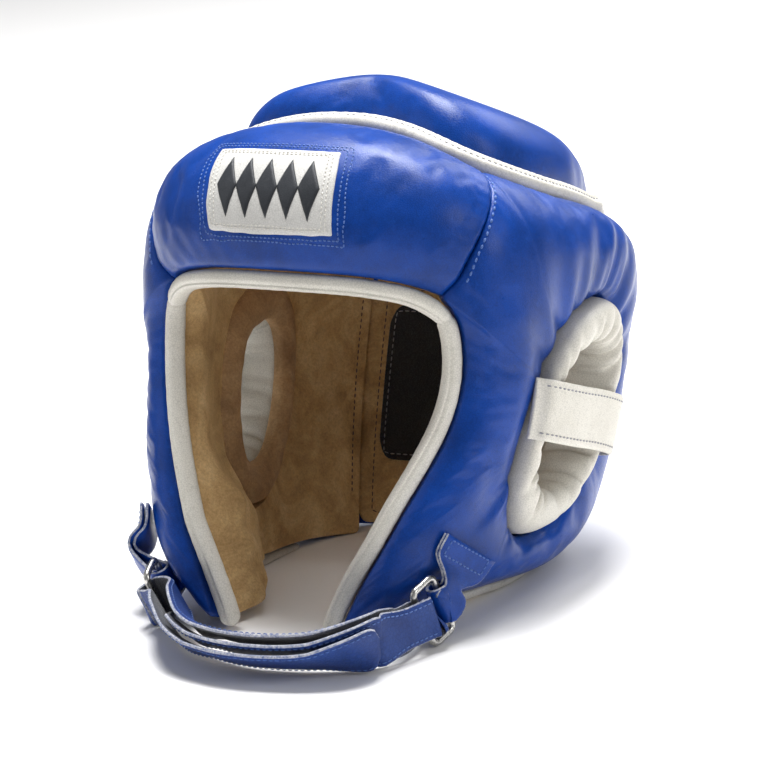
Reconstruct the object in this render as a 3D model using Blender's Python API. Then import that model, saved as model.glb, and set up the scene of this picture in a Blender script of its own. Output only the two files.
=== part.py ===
"""Boxing headgear with a hook-and-loop chin strap and rear closure.

The shell is a set of padded panels laid on one head-shaped surface. Every panel
is three layers: a leather cover outside, foam, and a suede lining inside.

Three numbers place a point on the panels:
  theta  degrees round the head: 0 at the forehead, 90 at the wearer's left ear
  level  millimetres below the widest line when negative, and when positive the
         percentage of the way up the crown
  out    millimetres outward from the inside of the lining
The head's own frame leans back by HEAD_PITCH when the headgear stands on a table.
"""

import math

import bmesh
import bpy
from mathutils import Vector

MM = 0.001

# --- the head space, inside the lining (millimetres) ---
INSIDE_HALF_WIDTH = 78.0
INSIDE_FRONT = 86.0
INSIDE_BACK = 95.0
WIDEST_LINE = 42.0
CROWN_RISE_FRONT = 54.0
CROWN_RISE_BACK = 36.0
CROWN_POWER = 2.5
PLAN_POWER_FRONT = 2.6
PLAN_POWER_BACK = 2.25
TAPER_DEPTH = 160.0
TAPER_SIDE = 31.0
TAPER_FRONT = 6.0
TAPER_BACK = 34.0

# --- how it stands ---
HEAD_PITCH = math.radians(16.0)
STAND_LIFT = 93.0
STAND_SHIFT = 26.6

# --- layers (millimetres) ---
COVER = 1.8
LINING = 1.8
GAP = 0.35
PANEL_THICK = 26.0
FACE_EDGE_THICK = 15.5
FACE_EDGE_LIFT = 6.5
SEAM_THICK = 24.5
TOP_EDGE_THICK = 18.0
BOTTOM_EDGE_THICK = 11.0
REAR_EDGE_THICK = 9.5
EAR_EDGE_THICK = 19.0
CROWN_EDGE_FRONT = 12.0
CROWN_EDGE_REAR = 18.0
CROWN_THICK = 38.0
CROWN_MARGIN = 12.0

# --- outlines on the head surface (theta, level) ---
SEAM_FOOT = (43.5, -8.5)
SEAM_HEAD = (59.0, 45.0)
SEAM_HALF_GAP = 0.25
BINDING_HALF_WIDTH = 4.0
SEAM_ROWS = (0.0, 0.1, 0.3, 0.55, 0.8, 0.93, 1.0)
TOP_EDGE = ((-30, 61), (0, 67), (30, 61), (59, 45), (90, 36), (140, 27), (180, 24), (220, 27))
FACE_EDGE = ((50, -19), (53, -34), (53.5, -50), (51.5, -66), (47, -83), (41, -102),
             (36, -120), (31, -138), (28, -153))
CHEEK_TIP = (27.5, -161.0)
CHIN_EDGE = ((29, -157.5), (34, -156), (41, -152), (50, -146), (65, -141), (80, -136),
             (95, -131), (112, -127), (127, -124.5))
REAR_EDGE_THETA = 138.0
REAR_EDGE_FOOT = -123.0
REAR_EDGE_HEAD = 27.0

# --- forehead patch: its foot and head from theta to theta, and their levels ---
LABEL_FOOT = (-13.5, 11.0)
LABEL_HEAD = (-19.0, 10.5)
LABEL_LEVELS = (5.5, 38.5)

# --- ear ---
EAR_THETA = 91.0
EAR_LEVEL = -58.0
EAR_LEAN = 6.0
EAR_HOLE = (9.5, 33.0)
EAR_RING = (14.3, 53.0)
EAR_PAD = (17.5, 52.0)
EAR_RING_THICK = 27.0
EAR_STRAP_WIDTH = 27.0

# --- rear closure ---
FLAP_FOOT = -119.0
FLAP_HEAD = -1.0
FLAP_END = 141.0
WING_END = 178.0
FLAP_HINGE_OUT = 13.0

# --- chin strap (millimetres) ---
STRAP_WIDTH = 25.0
STRAP_THICK = 2.4
STRAP_LAYER = 5.2
STRAP_LAYER_CHIN = 4.5
RING_WIRE = 3.2
STRAP_NECK = 18.0
RING_INSIDE_WIDTH = 23.6
RING_DROP = 14.0
TAB_WIDTH = 30.0
TAB_THICK = 2.2
RING_PLAY = 1.5

# --- colours (linear) ---
BLUE = (0.02, 0.06, 0.30)
CREAM = (0.72, 0.69, 0.60)
SUEDE = (0.27, 0.15, 0.07)
FOAM = (0.60, 0.58, 0.50)
BLACK = (0.012, 0.012, 0.013)
STEEL = (0.62, 0.60, 0.56)


# ---------------------------------------------------------------- surface
def lerp(a, b, t):
    return a + (b - a) * t


def signed_power(value, power):
    return math.copysign(abs(value) ** power, value)


def head_point(theta, level, out):
    """A point on the head surface, in the head's own frame."""
    c, s = math.cos(math.radians(theta)), math.sin(math.radians(theta))
    front = min(1.0, max(0.0, 0.5 + c))
    plan_power = lerp(PLAN_POWER_BACK, PLAN_POWER_FRONT, front)
    half_width = INSIDE_HALF_WIDTH + out
    half_front = INSIDE_FRONT + out
    half_back = INSIDE_BACK + out
    shrink = 1.0
    z = WIDEST_LINE + level
    if level > 0:
        rise = lerp(CROWN_RISE_BACK, CROWN_RISE_FRONT, (1 + c) / 2) + out
        climb = min(level / 100.0, 0.9999) * math.pi / 2
        z = WIDEST_LINE + rise * math.sin(climb) ** (2 / CROWN_POWER)
        shrink = math.cos(climb) ** (2 / CROWN_POWER)
    else:
        depth = -level / TAPER_DEPTH
        half_width -= TAPER_SIDE * depth ** 2.2
        half_front -= TAPER_FRONT * depth ** 2
        half_back -= TAPER_BACK * depth ** 1.3
    half_depth = half_front if c > 0 else half_back
    x = half_width * shrink * signed_power(s, 2 / plan_power)
    y = -half_depth * shrink * signed_power(c, 2 / plan_power)
    return Vector((x, y, z))


def press_flat(point):
    """Soft edges are pressed flat on the table."""
    return Vector((point.x, point.y, max(point.z, 0.0)))


def stand(point):
    """Head frame to the standing frame, both in millimetres."""
    c, s = math.cos(HEAD_PITCH), math.sin(HEAD_PITCH)
    return press_flat(Vector((point.x,
                              point.y * c + point.z * s + STAND_SHIFT,
                              -point.y * s + point.z * c + STAND_LIFT)))


def on_head(theta, level, out):
    return stand(head_point(theta, level, out))


def smooth_line(points, steps):
    """A rounded line through hand-set points (Catmull-Rom)."""
    points = [Vector(p) for p in points]
    points = [2 * points[0] - points[1]] + points + [2 * points[-1] - points[-2]]
    line = []
    for a, b, c, d in zip(points, points[1:], points[2:], points[3:]):
        for i in range(steps):
            t = i / steps
            line.append(0.5 * (2 * b + (c - a) * t + (2 * a - 5 * b + 4 * c - d) * t * t
                               + (3 * b - a - 3 * c + d) * t ** 3))
    line.append(points[-2])
    return line


def top_edge(theta):
    """Level of the panels' top edge, by smooth interpolation between the set points."""
    theta = abs((theta + 180.0) % 360.0 - 180.0)
    for i in range(1, len(TOP_EDGE) - 2):
        (t0, v0), (t1, v1), (t2, v2), (t3, v3) = TOP_EDGE[i - 1:i + 3]
        if t1 <= theta <= t2:
            t = (theta - t1) / (t2 - t1)
            m1 = (v2 - v0) / (t2 - t0) * (t2 - t1)
            m2 = (v3 - v1) / (t3 - t1) * (t2 - t1)
            return ((2 * t ** 3 - 3 * t * t + 1) * v1 + (t ** 3 - 2 * t * t + t) * m1
                    + (3 * t * t - 2 * t ** 3) * v2 + (t ** 3 - t * t) * m2)
    return TOP_EDGE[-2][1]


def seam_theta(row):
    return SEAM_HEAD[0] - (SEAM_HEAD[0] - SEAM_FOOT[0]) * (1 - row) ** 2


def seam_level(row):
    return lerp(SEAM_FOOT[1], SEAM_HEAD[1], row)


def ear_oval(size, angle):
    """A point on an oval round the ear; the oval leans back at the top."""
    return (EAR_THETA + size[0] * math.cos(angle) + EAR_LEAN * size[1] / 50.0 * math.sin(angle),
            EAR_LEVEL + size[1] * math.sin(angle))


# ---------------------------------------------------------------- mesh helpers
def material(name, colour, roughness, metallic=0.0):
    existing = bpy.data.materials.get(name)
    if existing:
        return existing
    made = bpy.data.materials.new(name)
    made.use_nodes = True
    shader = made.node_tree.nodes["Principled BSDF"]
    shader.inputs["Base Color"].default_value = (*colour, 1.0)
    shader.inputs["Roughness"].default_value = roughness
    shader.inputs["Metallic"].default_value = metallic
    return made


FINISHES = {
    "blue_leather": (BLUE, 0.38, 0.0),
    "cream_leather": (CREAM, 0.5, 0.0),
    "suede": (SUEDE, 0.9, 0.0),
    "foam": (FOAM, 0.95, 0.0),
    "black_tape": (BLACK, 0.9, 0.0),
    "steel": (STEEL, 0.25, 1.0),
}


def make_object(name, verts, faces, finish, origin=None):
    """Build a mesh from points in millimetres; the origin is where the piece turns."""
    origin = origin or Vector((0, 0, 0))
    mesh = bpy.data.meshes.new(name)
    mesh.from_pydata([(v - origin) * MM for v in verts], [], faces)
    bm = bmesh.new()
    bm.from_mesh(mesh)
    bmesh.ops.recalc_face_normals(bm, faces=bm.faces)
    bm.to_mesh(mesh)
    bm.free()
    mesh.shade_smooth()
    mesh.set_sharp_from_angle(angle=math.radians(50))
    obj = bpy.data.objects.new(name, mesh)
    obj.location = origin * MM
    obj.data.materials.append(material(finish, *FINISHES[finish]))
    bpy.context.collection.objects.link(obj)
    return obj


def slab(name, grid, quads, low, high, finish, mirror=False, origin=None):
    """A closed sheet: grid nodes (theta, level), an inner and an outer height per node."""
    side = -1 if mirror else 1
    count = len(grid)
    verts = [on_head(side * t, v, h) for (t, v), h in zip(grid, high)]
    verts += [on_head(side * t, v, h) for (t, v), h in zip(grid, low)]
    faces, edges = [], {}
    for a, b, c, d in quads:
        for tri in ((a, b, c), (a, c, d)):
            faces.append(tri)
            faces.append(tuple(i + count for i in reversed(tri)))
        for edge in ((a, b), (b, c), (c, d), (d, a)):
            key = tuple(sorted(edge))
            edges[key] = None if key in edges else edge
    for edge in edges.values():
        if edge:
            a, b = edge
            faces.append((b, a, a + count, b + count))
    return make_object(name, verts, faces, finish, origin)


def padded_panel(prefix, grid, quads, thick, lift, mirror=False):
    """The three layers of a panel: cover, foam and lining, nested with a small gap.

    The lift is how far the lining rises from the head space, where it rolls out to the binding.
    """
    slab(prefix + "_lining", grid, quads, lift, [v + LINING for v in lift], "suede", mirror)
    slab(prefix + "_foam", grid, quads, [v + LINING + GAP for v in lift],
         [t - COVER - GAP for t in thick], "foam", mirror)
    slab(prefix + "_cover", grid, quads, [t - COVER for t in thick], thick, "blue_leather", mirror)


def rows_to_quads(rows, columns, closed=False):
    quads = []
    for r in range(rows - 1):
        for c in range(columns if closed else columns - 1):
            n = (c + 1) % columns
            quads.append((r * columns + c, r * columns + n, (r + 1) * columns + n, (r + 1) * columns + c))
    return quads


def tube(name, centres, sides, section, finish, closed=False, origin=None):
    """Sweep a section (list of across, up pairs) along centres; sides gives the across axis."""
    count, ring = len(centres), len(section)
    verts = []
    for i, centre in enumerate(centres):
        before = centres[i - 1] if (i or closed) else centre
        after = centres[(i + 1) % count] if (i < count - 1 or closed) else centre
        along = (after - before).normalized()
        across = sides[i] - along * sides[i].dot(along)
        across.normalize()
        up = along.cross(across)
        verts += [press_flat(centre + across * u + up * v) for u, v in section]
    faces = []
    for i in range(count if closed else count - 1):
        n = (i + 1) % count
        for k in range(ring):
            m = (k + 1) % ring
            faces.append((i * ring + k, i * ring + m, n * ring + m, n * ring + k))
    if not closed:
        faces.append(tuple(range(ring)))
        faces.append(tuple((count - 1) * ring + k for k in range(ring)))
    return make_object(name, verts, faces, finish, origin)


def oval_section(half_across, half_up, points=8):
    return [(half_across * math.cos(2 * math.pi * k / points),
             half_up * math.sin(2 * math.pi * k / points)) for k in range(points)]


# ---------------------------------------------------------------- panels
def front_thickness(u, row):
    """The forehead pad's thickness: u runs from seam to seam, row from the foot to the top."""
    return (PANEL_THICK - (PANEL_THICK - SEAM_THICK) * abs(u) ** 8
            - (PANEL_THICK - FACE_EDGE_THICK) * (1 - row) ** 6
            - (PANEL_THICK - TOP_EDGE_THICK) * row ** 6)


def front_panel():
    """Forehead pad, from the face opening up to the crown, between the temple seams."""
    columns = (-1.0, -0.94, -0.8, -0.55, -0.28, 0.0, 0.28, 0.55, 0.8, 0.94, 1.0)
    grid, thick, lift = [], [], []
    for row in SEAM_ROWS:
        half = seam_theta(row) - SEAM_HALF_GAP
        for u in columns:
            theta = half * u
            foot = SEAM_FOOT[1] + 6.5 * (1 - abs(u) ** 3)
            grid.append((theta, lerp(foot, top_edge(theta), row)))
            thick.append(front_thickness(u, row))
            lift.append(FACE_EDGE_LIFT * (1 - row) ** 6)
    padded_panel("front", grid, rows_to_quads(len(SEAM_ROWS), len(columns)), thick, lift)


def face_share(level):
    """How far the face edge is rolled outward: fully beside the cheeks, not at their tips."""
    return min(1.0, max(0.0, (level - CHEEK_TIP[1]) / 45.0))


def side_outline():
    """The side panel's edge as (theta, level, thickness, lift), forward seam first."""
    outline = []
    for row in reversed(SEAM_ROWS):
        outline.append((seam_theta(row) + SEAM_HALF_GAP, seam_level(row), front_thickness(1.0, row),
                        FACE_EDGE_LIFT * (1 - row) ** 6))
    for theta, level in FACE_EDGE:
        outline.append((theta, level, lerp(BOTTOM_EDGE_THICK, FACE_EDGE_THICK, face_share(level)),
                        FACE_EDGE_LIFT * face_share(level)))
    outline += [(t, v, BOTTOM_EDGE_THICK, 0.0) for t, v in CHIN_EDGE]
    for k in range(5):
        level = lerp(REAR_EDGE_FOOT, REAR_EDGE_HEAD, k / 4)
        outline.append((REAR_EDGE_THETA, level, REAR_EDGE_THICK, 0.0))
    for theta in (122.0, 106.0, 90.0, 75.0):
        outline.append((theta, top_edge(theta), TOP_EDGE_THICK, 0.0))
    return outline


def ear_angle_towards(theta, level):
    """The ear oval's angle whose point lies in the direction of an outline point."""
    across = (theta - EAR_THETA - EAR_LEAN * (level - EAR_LEVEL) / 50.0) / EAR_RING[0]
    return math.atan2((level - EAR_LEVEL) / EAR_RING[1], across)


def side_panel(prefix, mirror):
    """Ear, temple and cheek pad: rings of quads from the ear opening to the outline."""
    outline = side_outline()
    spans = (0.0, 0.3, 0.62, 0.86, 1.0)
    hole = (EAR_RING[0] + 1.0, EAR_RING[1] + 2.4)
    grid, thick, lift = [], [], []
    for s in spans:
        for theta, level, edge, edge_lift in outline:
            near = ear_oval(hole, ear_angle_towards(theta, level))
            grid.append((lerp(near[0], theta, s), lerp(near[1], level, s)))
            thick.append(PANEL_THICK - (PANEL_THICK - EAR_EDGE_THICK) * (1 - s) ** 4
                         - (PANEL_THICK - edge) * s ** 4)
            lift.append(edge_lift * s ** 6)
    padded_panel(prefix, grid, rows_to_quads(len(spans), len(outline), closed=True), thick, lift, mirror)


def crown_edge_thick(theta):
    """The crown pad's edge is fuller over the sides and back than over the forehead."""
    return lerp(CROWN_EDGE_FRONT, CROWN_EDGE_REAR, min(1.0, 1.0 - math.cos(math.radians(theta))))


def crown():
    """Domed crown pad, closed over the head, with a cream binding round its edge."""
    columns = 24
    thetas = [360.0 * k / columns for k in range(columns)]
    spans = (0.0, 0.12, 0.35, 0.65, 0.97)
    grid, thick = [], []
    for s in spans:
        for theta in thetas:
            edge = top_edge(theta) + CROWN_MARGIN
            grid.append((theta, lerp(edge, 100.0, s)))
            thick.append(CROWN_THICK - (CROWN_THICK - crown_edge_thick(theta)) * (1 - s) ** 3)
    quads = rows_to_quads(len(spans), columns, closed=True)
    last = (len(spans) - 1) * columns
    half = columns // 2
    for k in range(1, half):
        quads.append((last + k - 1, last + k, last + columns - k - 1, last + (columns - k) % columns))
    padded_panel("crown", grid, quads, thick, [0.0] * len(grid))
    thetas = [360.0 * k / 36 for k in range(36)]
    centres = [on_head(t, top_edge(t) + CROWN_MARGIN / 2, 16.0) for t in thetas]
    sides = [on_head(t, top_edge(t) + CROWN_MARGIN / 2, 20.0) - c for t, c in zip(thetas, centres)]
    tube("crown_binding", centres, sides, oval_section(5.4, 4.4), "cream_leather", closed=True)


def bindings():
    """Cream binding round the face opening, and thin piping under the cheeks."""
    path = [CHEEK_TIP] + [(t, v) for t, v in reversed(FACE_EDGE)]
    path += [(SEAM_FOOT[0] + 1.5, SEAM_FOOT[1] - 3.0)]
    path += [(SEAM_FOOT[0] * u, SEAM_FOOT[1] + 6.5 * (1 - u ** 3)) for u in (0.8, 0.5, 0.2)]
    path += [(-t, v) for t, v in reversed(path)]
    path = smooth_line([(t, v, 0.0) for t, v in path], 2)
    heights = [4.6 + FACE_EDGE_LIFT * face_share(p.y) for p in path]
    edge = [on_head(p.x, p.y, h) for p, h in zip(path, heights)]
    sides = [on_head(p.x, p.y, h + 4.4) - e for p, h, e in zip(path, heights, edge)]
    centres = []
    for i, point in enumerate(edge):
        along = (edge[min(i + 1, len(edge) - 1)] - edge[max(i - 1, 0)]).normalized()
        inward = sides[i].normalized().cross(along)
        centres.append(point + inward * (BINDING_HALF_WIDTH + 1.0))
    tube("face_binding", centres, sides, oval_section(4.6, BINDING_HALF_WIDTH), "cream_leather")
    for prefix, side in (("left", 1), ("right", -1)):
        path = [Vector((t, v, 0.0)) for t, v in CHIN_EDGE[2:-1]]
        edge = [on_head(side * p.x, p.y - 3.6, 5.5) for p in path]
        up = [on_head(side * p.x, p.y, 12.0) - e for p, e in zip(path, edge)]
        tube(prefix + "_bottom_piping", edge, up, oval_section(3.4, 2.4, 6), "cream_leather")


# ---------------------------------------------------------------- ears
def ear_sweep(name, section, mirror, finish):
    """Sweep a section round the ear oval: 0 to 1 across from hole to rim, and height out."""
    steps = 24
    side = -1 if mirror else 1
    ring = len(section)
    verts, faces = [], []
    for i in range(steps):
        angle = 2 * math.pi * i / steps
        hole, rim = ear_oval(EAR_HOLE, angle), ear_oval(EAR_RING, angle)
        for across, out in section:
            verts.append(on_head(side * lerp(hole[0], rim[0], across),
                                 lerp(hole[1], rim[1], across), out))
        n = (i + 1) % steps
        for k in range(ring):
            m = (k + 1) % ring
            faces.append((i * ring + k, i * ring + m, n * ring + m, n * ring + k))
    return make_object(name, verts, faces, finish)


def ear_parts(prefix, mirror):
    """Padded ring through the ear opening, its foam, the inner pad and the cross strap."""
    middle = EAR_RING_THICK / 2
    outer, inner = [], []
    for k in range(8):
        angle = math.radians(-58 + 296 * k / 7)
        outer.append((0.5 + 0.5 * math.cos(angle), middle + (middle - 0.6) * math.sin(angle)))
        inner.append((0.5 + 0.37 * math.cos(angle), middle + (middle - 2.4) * math.sin(angle)))
    ear_sweep(prefix + "_ear_ring", outer + inner[::-1], mirror, "cream_leather")
    core = [(0.5 + 0.30 * math.cos(a), middle + (middle - 3.4) * math.sin(a))
            for a in (2 * math.pi * k / 6 for k in range(6))]
    ear_sweep(prefix + "_ear_ring_foam", core, mirror, "foam")

    steps = 24
    spans = (0.0, 0.35, 0.75, 1.0)
    heights = (-4.5, -6.5, -6.0, -2.0)
    grid, low, high = [], [], []
    for s, height in zip(spans, heights):
        for k in range(steps):
            angle = 2 * math.pi * k / steps
            hole, rim = ear_oval(EAR_HOLE, angle), ear_oval(EAR_PAD, angle)
            grid.append((lerp(hole[0], rim[0], s), lerp(hole[1], rim[1], s)))
            low.append(height)
            high.append(-GAP)
    slab(prefix + "_ear_pad", grid, rows_to_quads(len(spans), steps, closed=True),
         low, high, "suede", mirror)

    arch = ((74.4, 22.2), (75.8, 24.0), (77.2, 27.6), (80.0, 28.2), (85.0, 28.2), (91.0, 28.2),
            (97.0, 28.2), (102.0, 28.2), (105.0, 27.6), (106.6, 24.0), (108.0, 22.2))
    grid, low, high = [], [], []
    for row in (-0.5, 0.0, 0.5):
        for theta, out in arch:
            slope = -0.24 * (theta - EAR_THETA)
            grid.append((theta, EAR_LEVEL - 0.5 + slope + EAR_STRAP_WIDTH * row))
            low.append(out)
            high.append(out + 2.0)
    slab(prefix + "_ear_strap", grid, rows_to_quads(3, len(arch)), low, high, "cream_leather", mirror)


# ---------------------------------------------------------------- rear closure
def between(start, end, step):
    """Start and end, with every multiple of the step between them."""
    marks = [start]
    mark = (math.floor(start / step) + 1) * step
    while mark < end:
        if min(mark - start, end - mark) > step * 0.2:
            marks.append(mark)
        mark += step
    return marks + [end]


def closure_sheet(name, thetas, levels, low, high, finish, origin=None):
    """A curved sheet behind the head; sheets share their grid marks, so they nest."""
    columns, rows = between(*thetas, 8.0), between(*levels, 30.0)
    grid = [(theta, level) for level in rows for theta in columns]
    count = len(grid)
    slab(name, grid, rows_to_quads(len(rows), len(columns)), [low] * count, [high] * count,
         finish, origin=origin)


def flap_hinge():
    """Foot, head and direction of the line that the rear flap turns about."""
    theta = 360.0 - REAR_EDGE_THETA - 0.7
    foot = on_head(theta, FLAP_FOOT, FLAP_HINGE_OUT)
    head = on_head(theta, FLAP_HEAD, FLAP_HINGE_OUT)
    return foot, head, (head - foot).normalized()


def rear_closure():
    """Flap from the wearer's right, over a wing from the left, held by hook and loop."""
    foot, head, _ = flap_hinge()
    pivot = (foot + head) / 2
    near = 360.0 - REAR_EDGE_THETA - 0.9
    closure_sheet("rear_wing", (REAR_EDGE_THETA + 0.4, WING_END), (-100.0, -2.0),
                  0.4, 2.4, "blue_leather")
    closure_sheet("loop_tape", (REAR_EDGE_THETA + 4.0, WING_END - 3.0), (-92.0, -10.0),
                  2.4 + GAP, 3.5, "black_tape")
    closure_sheet("hook_tape", (FLAP_END + 4.0, near - 8.0), (-88.0, -14.0),
                  3.5 + GAP, 4.7, "black_tape", pivot)
    closure_sheet("rear_flap_lining", (FLAP_END, near), (FLAP_FOOT, FLAP_HEAD),
                  5.0 + GAP, 6.4, "suede", pivot)
    closure_sheet("rear_flap", (FLAP_END, near), (FLAP_FOOT, FLAP_HEAD),
                  6.4 + GAP, 10.4, "blue_leather", pivot)


# ---------------------------------------------------------------- chin strap
TAB_ROOT = ((61.5, -116.0), (59.5, -125.0), (58.0, -133.0))
TAB_STANDOFF = {1: (1.5, 1.5, 4.8), -1: (1.5, 3.5, 9.0)}
TAB_ACROSS = Vector((0.34, 0.73, -0.60)).normalized()
RING_CENTRES = {1: Vector((73.5, -101.0, 16.0)), -1: Vector((-63.0, -106.2, 13.2))}
RING_ALONG = Vector((0.22, 0.91, 0.33)).normalized()
RING_ACROSS = {1: Vector((-0.22, -0.55, 0.80)).normalized(),
               -1: Vector((0.12, -0.33, 0.92)).normalized()}
STRAP_ROUTE = ((-50.5, -119), (-38, -135), (-18, -153), (9, -161), (38, -158), (61, -147), (72, -128))
STRAP_LEAN = Vector((0.0, -0.87, 0.50))
STRAP_TURN = {1: (46.0, 28.0), -1: (8.0, 50.0)}


def to_side(vector, side):
    return Vector((vector.x * side, vector.y, vector.z))


def ring_frame(side):
    """Ring centre, its bars' direction, and the way from the strap's bar to the tab's bar."""
    centre = RING_CENTRES[side] + Vector((0, STAND_SHIFT, 0))
    across, along = to_side(RING_ACROSS[side], side), to_side(RING_ALONG, side)
    across = (across - along * across.dot(along)).normalized()
    out = along.cross(across).normalized()
    return centre, across, along, out if out.x * side > 0 else -out


def strap_ring(prefix, side):
    """Rectangular wire ring; it turns on the bar that the tab is folded round."""
    centre, across, along, out = ring_frame(side)
    half_w = (RING_INSIDE_WIDTH + RING_WIRE) / 2
    half_d = RING_DROP / 2
    corner = 2.6
    path = []
    for sx, sd, start in ((1, 1, 0), (-1, 1, 90), (-1, -1, 180), (1, -1, 270)):
        for k in range(3):
            angle = math.radians(start + 45 * k)
            path.append((sx * (half_w - corner) + corner * math.cos(angle),
                         sd * (half_d - corner) + corner * math.sin(angle)))
    centres = [centre + across * u + along * v for u, v in path]
    tube(prefix + "_ring", centres, [out] * len(centres), oval_section(RING_WIRE / 2, RING_WIRE / 2, 6),
         "steel", closed=True, origin=centre + along * half_d)


def band(name, centres, sides, widths, thick, finish, origin=None):
    """A flat band of varying width along a line; sides gives the way across it."""
    verts, faces = [], []
    count = len(centres)
    for i, centre in enumerate(centres):
        along = (centres[min(i + 1, count - 1)] - centres[max(i - 1, 0)]).normalized()
        across = (sides[i] - along * sides[i].dot(along)).normalized()
        up = along.cross(across) * thick / 2
        reach = across * widths[i] / 2
        corners = (centre - reach - up, centre + reach - up, centre + reach + up, centre - reach + up)
        verts += [press_flat(corner) for corner in corners]
    for i in range(count - 1):
        for k in range(4):
            m = (k + 1) % 4
            faces.append((i * 4 + k, i * 4 + m, i * 4 + 4 + m, i * 4 + 4 + k))
    faces.append((0, 1, 2, 3))
    faces.append(tuple(count * 4 - 4 + k for k in range(4)))
    return make_object(name, verts, faces, finish, origin)


def strap_tab(prefix, side):
    """Leather tab sewn to the cheek in two layers and folded round the ring's bar."""
    centre, across, along, _ = ring_frame(side)
    bar = centre + along * RING_DROP / 2
    bend = RING_WIRE / 2 + TAB_THICK / 2 + RING_PLAY
    layer = TAB_THICK / 2 + 0.25
    root = [on_head(side * t, v, PANEL_THICK + off) for (t, v), off in zip(TAB_ROOT, TAB_STANDOFF[side])]
    lift = (on_head(side * TAB_ROOT[1][0], TAB_ROOT[1][1], PANEL_THICK + 9.0) - root[1]).normalized()
    towards = bar - root[-1]
    towards = (towards - across * towards.dot(across)).normalized()
    away = towards.cross(across).normalized()
    if away.dot(lift) < 0:
        away = -away
    turn = [bar - towards * bend * math.cos(a) + away * bend * math.sin(a)
            for a in (math.radians(58 + 244 * k / 8) for k in range(9))]
    centres = [p + lift * layer * 2 for p in root] + turn + [p for p in reversed(root)]
    straight = to_side(TAB_ACROSS, side) * -1.0
    sides = [straight, straight, straight.lerp(across, 0.8)]
    sides = sides + [across] * len(turn) + sides[::-1]
    widths = [TAB_WIDTH, TAB_WIDTH - 3, STRAP_NECK - 8]
    widths = widths + [STRAP_NECK - 1] * len(turn) + widths[::-1]
    band(prefix + "_strap_tab", centres, sides, widths, TAB_THICK, "blue_leather")


def ring_share(point):
    """How near a point of the strap is to a ring: 0 under the chin, 1 at the ring."""
    return min(1.0, max(0.0, (point.y - STAND_SHIFT + 140.0) / 30.0))


def strap_across(point):
    """The strap's width direction: leaning forward under the chin, upright at the rings."""
    side = 1 if point.x > 0 else -1
    start, span = STRAP_TURN[side]
    near = min(1.0, max(0.0, (abs(point.x) - start) / span))
    return STRAP_LEAN.lerp(to_side(RING_ACROSS[side], side), near).normalized()


def layer_offset(point):
    """Spacing of the strap's layers: widest where it is folded round a ring."""
    return lerp(STRAP_LAYER_CHIN, STRAP_LAYER, ring_share(point))


def strap_width(point):
    """Full width under the chin, gathered to a neck where it passes a ring."""
    return lerp(STRAP_WIDTH, STRAP_NECK, ring_share(point))


def strap_line():
    """The strap's middle line under the chin, from the right ring to the left ring."""
    bars = []
    for side in (-1, 1):
        centre, _, along, _ = ring_frame(side)
        bars.append(centre - along * RING_DROP / 2)
    route = []
    for x, y in STRAP_ROUTE:
        point = Vector((x, y + STAND_SHIFT, 0.0))
        across = strap_across(point)
        rise = strap_width(point) / 2 * across.z + layer_offset(point) * abs(across.y) + STRAP_THICK
        route.append(Vector((point.x, point.y, rise)))
    return smooth_line([bars[0]] + route + [bars[1]], 5)


def strap_out(line, i):
    """The way outward from the strap's face at one point of a line."""
    along = (line[min(i + 1, len(line) - 1)] - line[max(i - 1, 0)]).normalized()
    return along.cross(strap_across(line[i])).normalized()


def offset_line(line, layers):
    return [point + strap_out(line, i) * layer_offset(point) * layers for i, point in enumerate(line)]


def fold(line, i, reach):
    """Half turn of the strap round a ring's bar, at one end of the line."""
    end, before = line[i], line[i - 1] if i else line[1]
    i = i % len(line)
    along = (end - before).normalized()
    out = strap_out(line, i)
    return [end - out * reach * math.cos(a) + along * reach * math.sin(a)
            for a in (math.pi * k / 6 for k in range(1, 6))]


def chin_strap():
    """One strap through both rings: inner run, middle return and outer closing end."""
    line = strap_line()
    inner = offset_line(line, -1)
    outer = offset_line(line, 1)
    last = len(line) - 1
    returning = range(last - 7, last // 3, -1)
    run = [outer[0]] + fold(line, 0, STRAP_LAYER)[::-1] + inner + fold(line, last, STRAP_LAYER)
    run += [outer[-1], lerp(line[last - 7], outer[-1], 0.5)] + [line[i] for i in returning]
    beside = [0] * 6 + list(range(last + 1)) + [last] * 7 + list(returning)
    band("chin_strap", run, [strap_across(line[i]) for i in beside],
         [strap_width(line[i]) for i in beside], STRAP_THICK, "blue_leather",
         origin=(line[0] + line[-1]) / 2)

    beside = line[1:last - 7]
    band("strap_end", outer[1:last - 7], [strap_across(p) for p in beside],
         [strap_width(p) for p in beside], STRAP_THICK, "blue_leather", origin=outer[1])


def label():
    """Blank patch sewn on the forehead."""
    grid = []
    for row in range(5):
        start, end = [lerp(low, high, row / 4) for low, high in zip(LABEL_FOOT, LABEL_HEAD)]
        level = lerp(*LABEL_LEVELS, row / 4)
        grid += [(lerp(start, end, k / 4), level) for k in range(5)]
    count = len(grid)
    slab("label_patch", grid, rows_to_quads(5, 5), [PANEL_THICK + 0.4] * count,
         [PANEL_THICK + 1.6] * count, "cream_leather")


def build():
    for obj in list(bpy.data.objects):
        bpy.data.objects.remove(obj, do_unlink=True)
    front_panel()
    crown()
    bindings()
    label()
    for prefix, side in (("left", 1), ("right", -1)):
        side_panel(prefix + "_side", side < 0)
        ear_parts(prefix, side < 0)
        strap_ring(prefix, side)
        strap_tab(prefix, side)
    rear_closure()
    chin_strap()


build()
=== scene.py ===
"""Looks of the boxing headgear: leather, suede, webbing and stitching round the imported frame.

Three numbers place a point on the pads, as in the part's own source:
  theta  degrees round the head: 0 at the forehead, 90 at the wearer's left ear
  level  millimetres below the widest line when negative, percent up the crown when positive
  out    millimetres outward from the inside of the lining
Everything is worked out in millimetres in the standing frame and scaled to metres last.
"""

import math

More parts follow.
